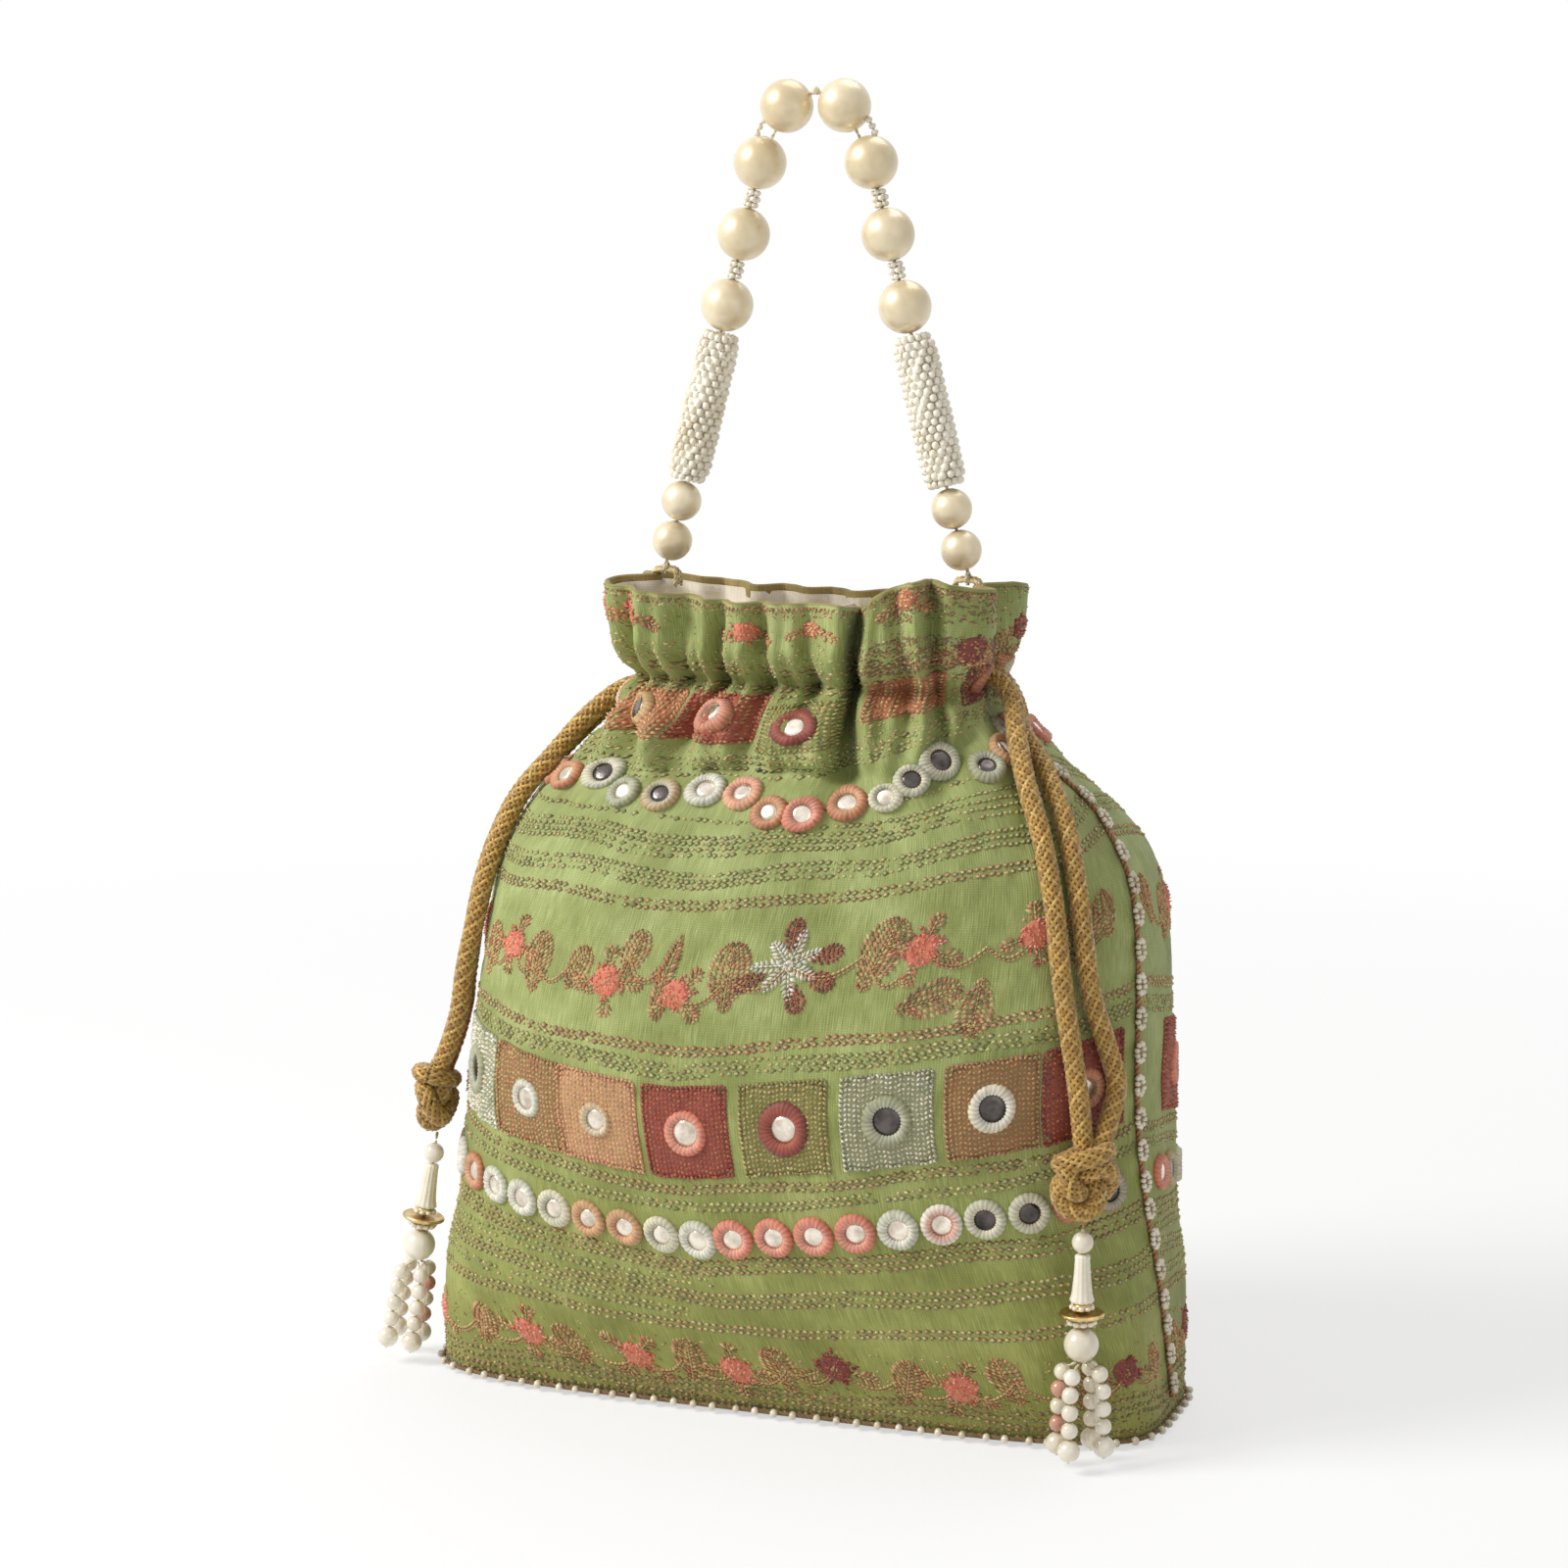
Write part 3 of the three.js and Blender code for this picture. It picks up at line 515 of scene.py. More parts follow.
def make_knot(side):
    """Both ends tied in one overhand knot: a trefoil of cord with a wrap over the two strands."""
    at = np.array(KNOTS[side][0], float)
    turn = knot_turn(side, False)
    heap = Heap()
    t = np.linspace(0, TURN, 150, endpoint=False)
    swing = 5.9 * (2 + np.cos(3 * t)) / 2.6
    loop = np.stack([swing * np.cos(2 * t), 2.3 * np.sin(3 * t) - 0.2, -swing * np.sin(2 * t) - 0.6], 1)
    w = np.linspace(0, TURN, 60, endpoint=False)
    wrap = np.stack([5.8 * np.cos(w), 4.0 * np.sin(w), 5.6 + 1.5 * np.cos(w + 0.6)], 1)
    for line, diameter in ((loop, CORD), (wrap, WRAP)):
        braid(heap, line @ turn.T + at, diameter, 13.0, True)
    return heap.make("drawstring_knot_" + side, GOLD_YARN, "pouch", "gold_cord")


cord_paths = []
for side in SIDES:
    knot = make_knot(side)
    for end in ("front", "back"):
        points = CORDS[f"{side}_{end}"]
        path = route(points, CORD_STEP)
        cord_paths.append(path)
        heap = Heap()
        braid(heap, path, CORD)
        obj = heap.make(f"drawstring_{side}_{end}", GOLD_YARN, "pouch", "gold_cord")
        if end == "front":
            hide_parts(f"drawstring_{side}")
        length = float(distances(path)[-1]) * MM
        guide = route(points, length / MM / GUIDE_STEPS)
all_cords = np.concatenate(cord_paths)


# Light, floor and background
def seen_rays(tree):
    """A socket that is 1 for rays from the camera, a gloss or a glass, and 0 for the rest."""
    rays = tree.nodes.new("ShaderNodeLightPath")
    seen = rays.outputs["Is Camera Ray"]
    for kind in ("Is Glossy Ray", "Is Transmission Ray"):
        either = tree.nodes.new("ShaderNodeMath")
        either.operation = "MAXIMUM"
        tree.links.new(seen, either.inputs[0])
        tree.links.new(rays.outputs[kind], either.inputs[1])
        seen = either.outputs[0]
    return seen


world = bpy.data.worlds.new("studio")
bpy.context.scene.world = world
world.use_nodes = True
tree = world.node_tree
soft = tree.nodes["Background"]
soft.inputs["Color"].default_value = (1.0, 0.985, 0.96, 1)
soft.inputs["Strength"].default_value = 0.32
white = tree.nodes.new("ShaderNodeBackground")
white.inputs["Color"].default_value = WHITE
white.inputs["Strength"].default_value = 1.0
blend = tree.nodes.new("ShaderNodeMixShader")
for index, socket in enumerate((seen_rays(tree), soft.outputs[0], white.outputs[0])):
    tree.links.new(socket, blend.inputs[index])
tree.links.new(blend.outputs[0], tree.nodes["World Output"].inputs[0])


def lamp(name, place, aim_at, size, watts):
    data = bpy.data.lights.new(name, "AREA")
    data.size = size
    data.energy = watts
    obj = bpy.data.objects.new(name, data)
    obj.location = place
    obj.rotation_euler = (Vector(aim_at) - Vector(place)).to_track_quat("-Z", "Y").to_euler()
    bpy.context.scene.collection.objects.link(obj)


lamp("key", (-1.0, -0.75, 1.1), (0, 0, 0.13), 0.6, 22.0)
lamp("fill", (1.1, -0.8, 0.5), (0, 0, 0.12), 0.9, 1.1)
lamp("top", (0.1, 0.5, 1.3), (0, 0, 0.15), 0.8, 4.4)

FLOOR_HALF, FLOOR_DROP = 4, -0.0004
look = Nodes("pale_floor", Roughness=0.9, Base_Color=(0.96, 0.96, 0.96, 1))
glow = look.node("Emission", {"Color": WHITE, "Strength": 1.0})
ground = look.node("TexCoord").outputs["Object"]
reach = look.node("VectorMath", {0: ground}, operation="LENGTH").outputs["Value"]
share = look.math("MULTIPLY", seen_rays(look.tree), look.span(reach, 0.6, 1.0, (0.25, 0.8)))
mixed = look.node("MixShader", {0: share, 1: look.bsdf.outputs[0], 2: glow.outputs[0]})
look.tree.links.new(mixed.outputs[0], look.tree.nodes["Material Output"].inputs[0])
floor_mesh = bpy.data.meshes.new("floor")
corners = [(x * FLOOR_HALF, y * FLOOR_HALF, FLOOR_DROP) for x, y in ((-1, -1), (1, -1), (1, 1), (-1, 1))]
floor_mesh.from_pydata(corners, [], [(0, 1, 2, 3)])
floor_mesh.materials.append(look.mat)
floor = bpy.data.objects.new("floor", floor_mesh)
bpy.context.scene.collection.objects.link(floor)

# The pouch's wall, as in the CAD model, and the folds that the drawn cords put into it
SIZE = (190.0, 104.0, 204.0)
# Each level: its height, width and depth as shares of the size, and its lean
LEVELS = np.array([
    (0.0025, 1.0, 0.615, 0.0), (0.147, 0.98, 0.85, 0.8), (0.382, 0.947, 1.0, 2.2), (0.54, 0.921, 0.99, 3.7),
    (0.662, 0.863, 0.933, 4.6), (0.735, 0.774, 0.827, 3.8), (0.8, 0.66, 0.673, 2.6), (0.843, 0.6, 0.52, 1.5),
    (0.882, 0.6, 0.442, 1.2), (0.941, 0.62, 0.47, 1.2), (1.0, 0.645, 0.5, 1.2)])
BASE, SLOPE, NECK, TOP = 0.51, 149.94, 179.93, 204.0


def cubic(x, xs, ys):
    """A smooth curve through the points of xs and ys, at x."""
    i = np.clip(np.searchsorted(xs, x, side="right") - 1, 0, len(xs) - 2)
    m = np.empty(len(xs))
    m[1:-1] = (ys[2:] - ys[:-2]) / (xs[2:] - xs[:-2])
    m[0] = (ys[1] - ys[0]) / (xs[1] - xs[0])
    m[-1] = (ys[-1] - ys[-2]) / (xs[-1] - xs[-2])
    d = xs[i + 1] - xs[i]
    t = (x - xs[i]) / d
    return ((2 * t**3 - 3 * t**2 + 1) * ys[i] + (t**3 - 2 * t**2 + t) * d * m[i]
            + (3 * t**2 - 2 * t**3) * ys[i + 1] + (t**3 - t**2) * d * m[i + 1])


def twist(h):
    """How far the side seams have turned at a height."""
    return -0.36 * np.sin(np.pi * np.clip((h - BASE) / (NECK - BASE), 0, 1))


def wall(height, angle):
    """The smooth wall's points at one height, for an array of angles."""
    h = np.full(len(angle), height)
    angle = angle + twist(height)
    hs = LEVELS[:, 0] * SIZE[2]
    a = cubic(h, hs, LEVELS[:, 1] * SIZE[0] / 2)
    b = cubic(h, hs, LEVELS[:, 2] * SIZE[1] / 2)
    lean = cubic(h, hs, LEVELS[:, 3])
    n = 4.6 - 2.0 * smooth(h, 0, 60)
    c, s = np.cos(angle), np.sin(angle)
    reach = (np.abs(c) ** n + np.abs(s) ** n) ** (-1 / n)
    gathered = smooth(h, SLOPE, NECK)
    rise = np.clip((h - NECK) / (TOP - NECK), 0, 1)
    pinch = gathered * (12 + 7 * rise) * bell(np.arcsin(np.abs(s)), 0, 0.65)
    return np.stack([lean + (a - pinch) * c * reach, b * s * reach, h], -1)


# Each fold: x at the mouth, neck and foot, half width, depth at the mouth and neck, and its foot's height
FRONT_FOLDS = [
    (-24.0, -25.5, -29.0, 3.2, 4.2, 2.8, 168), (-14.5, -16.2, -25.0, 2.0, 3.6, 7.4, 160),
    (-4.4, -4.0, -5.5, 2.4, 4.4, 6.0, 162), (20.4, 18.0, 22.0, 2.4, 15.0, 14.0, 154),
    (38.5, 39.0, 46.0, 1.8, 7.0, 6.4, 152), (-38.5, -39.5, -36.0, 2.4, 2.4, 7.6, 156),
    (8.0, 8.0, 9.0, 2.0, 1.2, 5.0, 166), (30.5, 31.0, 37.0, 2.0, 1.8, 3.4, 160),
    (-31.5, -32.5, -34.0, 1.7, 1.2, 4.0, 166), (-20.0, -21.0, -24.0, 1.6, 0.8, 3.4, 168),
    (-10.0, -10.5, -13.0, 1.7, 1.2, 4.0, 166), (2.0, 2.0, 1.5, 1.6, 0.8, 3.4, 168),
    (13.0, 12.6, 15.0, 1.6, 1.0, 3.6, 166), (26.0, 25.0, 29.0, 1.7, 2.6, 4.4, 163),
    (43.0, 43.0, 50.0, 1.8, 1.4, 4.0, 160), (-45.0, -45.0, -50.0, 1.8, 1.2, 4.0, 160),
    (-40.0, -41.0, -61.0, 1.6, 0.4, 3.0, 134),
]
BACK_FOLDS = [
    (33.0, 33.0, 44.0, 3.0, 4.2, 4.4, 152), (19.0, 18.0, 23.0, 2.8, 2.6, 3.4, 158),
    (5.0, 5.5, 8.0, 3.2, 5.0, 5.4, 154), (-9.0, -8.0, -10.0, 2.6, 2.2, 2.8, 161),
    (-22.0, -21.0, -28.0, 3.0, 4.6, 4.6, 155), (-37.0, -36.0, -46.0, 2.8, 2.4, 3.6, 150),
    (26.0, 25.5, 31.0, 1.7, 1.2, 3.8, 164), (12.0, 11.5, 14.0, 1.6, 1.0, 3.4, 166),
    (-2.0, -1.5, -2.0, 1.6, 0.8, 3.6, 167), (-15.0, -14.5, -18.0, 1.7, 1.0, 3.6, 166),
    (-29.5, -28.5, -34.0, 1.7, 1.2, 3.8, 164), (42.0, 41.5, 50.0, 1.8, 1.2, 3.8, 162),
]
# A fold deeper than this rolls over at its left edge
ROLL_DEPTH = 8
# Soft bumps and dents: x, height, reach across, reach up, how far out
FRONT_BUMPS = [
    (-30, 171, 7, 6, 4.2), (-12, 171, 6, 6, 3.6), (7, 172, 8.5, 5.5, 5.4), (11, 161.5, 15, 2.6, -6.2),
    (33, 169, 8, 6, 4.4), (27, 173, 3.5, 6, 3.0), (-48, 160, 6, 10, 1.8), (47, 167, 4, 8, -3.4),
    (-18, 160.5, 13, 2.6, -3.2), (30, 150, 20, 6, -0.9), (-40, 140, 9, 12, -1.6), (-20, 132, 30, 7, 0.8),
    (-27, 191, 6, 5, 1.4), (8, 191, 9, 5, 2.0), (31, 192, 7, 6, 2.0), (-10, 191, 4, 5, 1.6),
]
BACK_BUMPS = [
    (40, 168, 8, 8, 2.6), (12, 168, 7, 8, 3.0), (-14, 169, 7, 7, 2.8), (-32, 166, 8, 9, 3.0),
    (0, 158, 16, 3, -2.0), (26, 191, 6, 5, 1.4), (-2, 191, 6, 5, 1.4), (-29, 191, 6, 5, 1.4),
]
# How far the rim stands above or below the wall's top: places across, and the lifts there
RIM_FRONT = (
    (0, 0.08, 0.2, 0.3, 0.42, 0.56, 0.61, 0.645, 0.68, 0.74, 0.775, 0.81, 0.845, 0.885, 0.915, 1),
    (0.6, 0.6, -0.6, -2.0, -3.2, -2.8, -2.4, -5.0, -0.6, 3.4, 3.7, 2.9, 1.9, 1.2, 0.8, 0.6))
RIM_BACK = ((0, 0.08, 0.25, 0.5, 0.75, 0.92, 1), (0.6, 0.6, -3.4, -4.6, -3.2, 0.0, 0.6))
WAVES = [(rng.uniform(-1, 1, 2), rng.uniform(0, 6.28)) for _ in range(14)]
CORD_CLEARANCE = 0.35


class Cloth:
    """One panel of the pouch as a grid: u runs across from its first seam to its second, h up the wall."""

    columns, body_rows, neck_rows, neck_from = 165, 50, 52, 138
    samples = 900

    def __init__(self, start, folds, bumps, rim):
        body = np.linspace(BASE, self.neck_from, self.body_rows)
        self.heights = np.r_[body, np.linspace(self.neck_from, TOP, self.neck_rows)[1:]]
        self.u = np.linspace(0, 1, self.columns + 1)
        grid, spans = [], []
        for height in self.heights:
            p = wall(height, start + np.linspace(0, np.pi, self.samples))
            along = distances(p)
            grid.append(walk(p, along, self.u * along[-1]))
            spans.append(along[-1])
        grid = np.array(grid)
        self.spans = np.array(spans)
        x, h = grid[..., 0], grid[..., 2]
        u = np.broadcast_to(self.u, x.shape)
        way = unit(np.gradient(grid, axis=1) * (1, 1, 0))
        self.out = outward(way)
        free = smooth(u, 0.01, 0.11) * smooth(1 - u, 0.01, 0.11)
        push, slip = self.folded(x, h, folds)
        for bump_x, bump_h, wide, tall, high in bumps:
            push += high * bell(x, bump_x, wide) * bell(h, bump_h, tall)
        push += self.gathered(x, h) + self.uneven(u, h)
        lift = np.interp(u, *rim) * smooth(h, NECK, TOP)
        flare = 3.4 * smooth(h, 183, 199) * smooth(np.abs(x), 18, 36) * (1 - bell(grid[..., 1], 0, 7))
        grid[..., 2] += lift
        self.base, self.push = grid, push * free + flare
        self.roll = way * (slip * free)[..., None]
        self.grid = self.clear_of_cords(grid + self.out * self.push[..., None] + self.roll)
        self.normal = unit(np.cross(np.gradient(self.grid, axis=1), np.gradient(self.grid, axis=0)))
        steps = np.linalg.norm(np.diff(self.grid, axis=0), axis=2).mean(1)
        self.up = np.r_[0, np.cumsum(steps)]

    def folded(self, x, h, folds):
        """How far the folds push the wall out, and how far they slip it sideways."""
        push, slip = np.zeros_like(x), np.zeros_like(x)
        for top, neck, foot, reach, deep_top, deep_neck, end in folds:
            middle = np.interp(h, (end, NECK, TOP), (foot, neck, top))
            depth = np.interp(h, (NECK, TOP), (deep_neck, deep_top)) * smooth(h, end - 4, NECK - 5)
            off = (x - middle) / (reach * (1 + 0.9 * (1 - smooth(h, end, NECK))))
            push += depth * (0.34 * (bell(off, 2.1, 1.1) + bell(off, -2.1, 1.1)) - bell(off, 0, 1))
            if depth.max() > ROLL_DEPTH:
                slip += (2.4 * bell(off, -1.8, 1.1) - 2.6 * bell(off, 0, 0.9)) * depth / depth.max()
        return push, slip

    def gathered(self, x, h):
        """Small pleats at the neck, the swell over and under the cord channel, and the shoulder's waves."""
        pleats = 0.8 * np.sin(x * 1.05 + 0.9 * np.sin(x * 0.23)) + 0.5 * np.sin(x * 0.58 + 1)
        pleats = pleats * smooth(h, 150, 178) * (1 - smooth(h, 186, 196))
        channel = 1.5 * bell(h, 188.5, 4) - 3.6 * bell(h, 181.0, 2.2) + 1.3 * bell(h, 173, 4.5)
        shoulder = smooth(h, 96, 146) * (1 - smooth(h, 160, 176))
        return pleats + channel + shoulder * 0.9 * np.sin(x / 6.2 + 1.3 * np.sin(h / 17))

    def uneven(self, u, h):
        """Slight waves all over the cloth."""
        push = np.zeros_like(h)
        for (a, b), phase in WAVES:
            push += 0.13 * np.sin(u * 60 * a + h * 0.14 * b + phase) * smooth(h, 4, 30)
            push += 0.05 * np.sin(u * 230 * a + h * 0.75 * b + 2 * phase) * smooth(h, 4, 20)
        return push

    def clear_of_cords(self, grid):
        """The cloth gives way under the cords that lie on it."""
        flat = grid.reshape(-1, 3).copy()
        away = self.out.reshape(-1, 3)
        for _ in range(3):
            for first in range(0, len(flat), 4000):
                part = flat[first:first + 4000]
                d = np.linalg.norm(part[:, None] - all_cords[None, ::3], axis=2).min(1)
                give = np.clip(CORD / 2 + CORD_CLEARANCE - d, 0, 2.5)
                part -= away[first:first + 4000] * give[:, None]
        return flat.reshape(grid.shape)

    def at(self, u, h, lift=0.0):
        """The point on the cloth at u and h, raised off it by lift."""
        last = len(self.heights) - 1
        r = np.clip(np.interp(h, self.heights, np.arange(last + 1)), 0, last - 0.001)
        c = np.clip(u, 0, 1) * (self.columns - 0.001)
        i, j = r.astype(int), c.astype(int)
        f, g = (r - i)[..., None], (c - j)[..., None]
        out = []
        for field in (self.grid, self.normal):
            low = field[i, j] * (1 - g) + field[i, j + 1] * g
            high = field[i + 1, j] * (1 - g) + field[i + 1, j + 1] * g
            out.append(low * (1 - f) + high * f)
        return out[0] + unit(out[1]) * np.asarray(lift)[..., None]

    def span(self, h):
        return np.interp(h, self.heights, self.spans)

    def steep(self, h):
        """Cloth length for each millimetre of height."""
        return np.interp(h, self.heights[:-1], np.diff(self.up) / np.diff(self.heights))


front = Cloth(math.pi, FRONT_FOLDS, FRONT_BUMPS, RIM_FRONT)
back = Cloth(0.0, BACK_FOLDS, BACK_BUMPS, RIM_BACK)


def sheet_uv(across, up):
    """UV in centimetres for both faces of a sheet whose grid goes across and up."""
    uv = np.stack(np.broadcast_arrays(across[None, :], up[:, None]), -1).reshape(-1, 2)
    return np.concatenate([uv, uv])


# Panels: each turned over in a hem at the mouth, whose rows go up and then inward
CUT = (237.0, 214.0)
CLOTH_THICK = 0.55
HEM = [(0.45, 0.3), (0.6, 0.9), (0.1, 1.35), (-3.0, 1.45)]
for name, cloth, node in (("front_cloth", front, "front_panel"), ("back_cloth", back, "back_panel")):
    grid, normal = cloth.grid, cloth.normal
    last = len(grid) - 1
    flat = unit(normal[-1] * (1, 1, 0))
    turned = np.array([grid[-1] - flat * inward + np.array([0, 0, rise]) for rise, inward in HEM])
    outer = np.concatenate([grid, turned])
    under = np.concatenate([grid - normal * CLOTH_THICK, turned + flat * 0.3 - np.array([0, 0, 0.35])])
    under[last:, :, 2] = np.minimum(under[last:, :, 2], outer[last:, :, 2] - 0.1)
    verts, faces = shell(outer, under)
    up = np.r_[cloth.up / 10, HEM_SPAN[1] + np.arange(1, len(HEM) + 1) / 10]
    uv = sheet_uv(cloth.u * CUT[0] / 10, up)
    obj = build(name, verts, faces, GREEN, "pouch", uv=uv)
    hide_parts(node)

# The base: an oval of the same cloth over a stiff board, a little hollow underneath
BOARD_LOW, BOARD_TOP, BOARD_EDGE, BOARD_HOLLOW = 0.05, 1.9, 0.5, 0.5
angles = np.linspace(0, TURN, 160, endpoint=False)
edge = wall(BASE, angles) * (1, 1, 0)
shares = np.r_[np.linspace(0.02, 0.94, 24), 0.975, 0.992]
disc = shares[:, None, None] * edge
under, over = disc.copy(), disc.copy()
under[..., 2] = BOARD_LOW + BOARD_HOLLOW * (1 - shares**2)[:, None] * (1 + 0.3 * np.sin(3 * angles))
under[-1, :, 2] = BOARD_EDGE
over[..., 2] = BOARD_TOP
verts, faces = bowl(under, over)
obj = build("base_cloth", verts, faces, GREEN, "pouch", uv=verts[:, :2] / 10)
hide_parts("base_panel")


# The lining: one cream bag inside, sewn to the turned hem at the mouth and clear of the cord channel
def innermost(push, reach):
    """The least push within reach columns of each place."""
    wide = np.pad(push, ((0, 0), (reach, reach)), mode="edge")
    return np.min([wide[:, k:k + push.shape[1]] for k in range(2 * reach + 1)], axis=0)


LINING_THICK, LINING_GIRTH = 0.6, 46
FLOOR_SHARES = (0.08, 0.4, 0.75)
halves = []
for cloth in (front, back):
    h = cloth.heights[:, None]
    gap = 1.9 + 4.0 * bell(h, NECK, 8) - 0.35 * smooth(h, 196, 204)
    rolled = -innermost(-np.linalg.norm(cloth.roll, axis=2), 11)
    at_hem = smooth(h, 193, 202) * (1 - smooth(rolled, 0.05, 0.4))
    push = innermost(cloth.push, 6) * (1 - at_hem) + cloth.push * at_hem - gap
    half = cloth.base + cloth.out * push[..., None]
    half[..., 2] -= 1.2 * smooth(h, 190, 204)
    halves.append(half[2::2, :-1:2])
outer = np.concatenate(halves, axis=1)
outer = np.concatenate([np.array([outer[0] * (s, s, 1) for s in FLOOR_SHARES]), outer])
inner = outer.copy()
way = unit((np.roll(outer, -1, 1) - np.roll(outer, 1, 1)) * (1, 1, 0))
floor_rows = len(FLOOR_SHARES)
inner[floor_rows:] -= outward(way)[floor_rows:] * LINING_THICK
inner[:floor_rows + 1, :, 2] += LINING_THICK
verts, faces = bowl(outer, inner)
up = np.r_[0, np.cumsum(np.linalg.norm(np.diff(outer, axis=0), axis=2).mean(1))] / 10
uv = sheet_uv(np.linspace(0, LINING_GIRTH, outer.shape[1]), up)
obj = build("lining_cloth", verts, faces, CREAM, "pouch", uv=uv)
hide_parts("lining")

# Embroidery: every stitch is a small raised bar of yarn on the cloth
DYES = {name: np.array(srgb(*rgb)[:3]) for name, rgb in {
    "gold": (200, 174, 116), "brown": (142, 110, 68), "olive": (134, 134, 72), "leaf": (160, 172, 104),
    "cream": (228, 218, 190), "grey": (196, 197, 172), "rust": (186, 116, 80), "coral": (220, 128, 102),
    "peach": (224, 172, 130), "red": (172, 88, 66), "wine": (126, 62, 54), "pink": (230, 166, 144),
    "tan": (196, 156, 108), "white": (240, 234, 220), "moss": (164, 156, 94), "slate": (152, 152, 114),
    "mauve": (156, 118, 106), "brick": (150, 74, 56), "bark": (152, 118, 72), "clay": (200, 142, 102),
    "fern": (134, 128, 68), "straw": (208, 192, 136), "umber": (134, 120, 64), "sage": (184, 184, 120),
}.items()}
# A stitch's corners: share of its length, of its half width and of its height, and the faces between them
STITCH = ((-0.12, 0, 0.02), (0.5, 1.2, 0.0), (0.5, 0, 1.0), (0.5, -1.2, 0.0), (1.12, 0, 0.02))
STITCH_FACES = np.array([(0, 2, 1), (0, 3, 2), (1, 2, 4), (2, 3, 4), (0, 1, 3), (1, 4, 3)])
MOST_STITCHES = 24000
# Rounds of a flower: share of its size, stitches, their width and height, and shade
TUFTS = ((1.0, 30, 0.8, 0.5, 0.95), (0.86, 26, 0.75, 0.85, 1.04), (0.6, 16, 0.7, 1.0, 1.16))


def pick(dyes, count):
    """Dyes drawn by chance, one for each of count stitches."""
    return np.array([DYES[d] for d in dyes])[rng.integers(0, len(dyes), count)]


def pairs_of(x, y):
    return np.stack([x, y], 1)


def heading(angle):
    return np.array([math.cos(angle), math.sin(angle)])


def drift(u, r):
    """How far a row stands above its lowest point: it sags in mid front and climbs to the seams."""
    right = 16.5 * (np.clip(u - 0.5, 0, 1) / 0.47) ** 1.1
    left = np.minimum(7.5 * (np.clip(0.48 - u, 0, 1) / 0.28) ** 1.3, 9)
    share = np.interp(r, (2, 10, 45, 150, 160, 176, 190), (0.0, 0.3, 1, 1, 1.05, 0.55, 0.1))
    left_share = np.interp(r, (2, 10, 45, 85, 115), (0.0, 0.35, 1, 1, 0.1))
    return right * share + left * left_share


def place(seat, x, y, lift):
    """Points on a seat, x across it, y up it and lift off it."""
    middle, across, up, out = seat
    return middle + np.outer(x, across) + np.outer(y, up) + np.outer(lift, out)


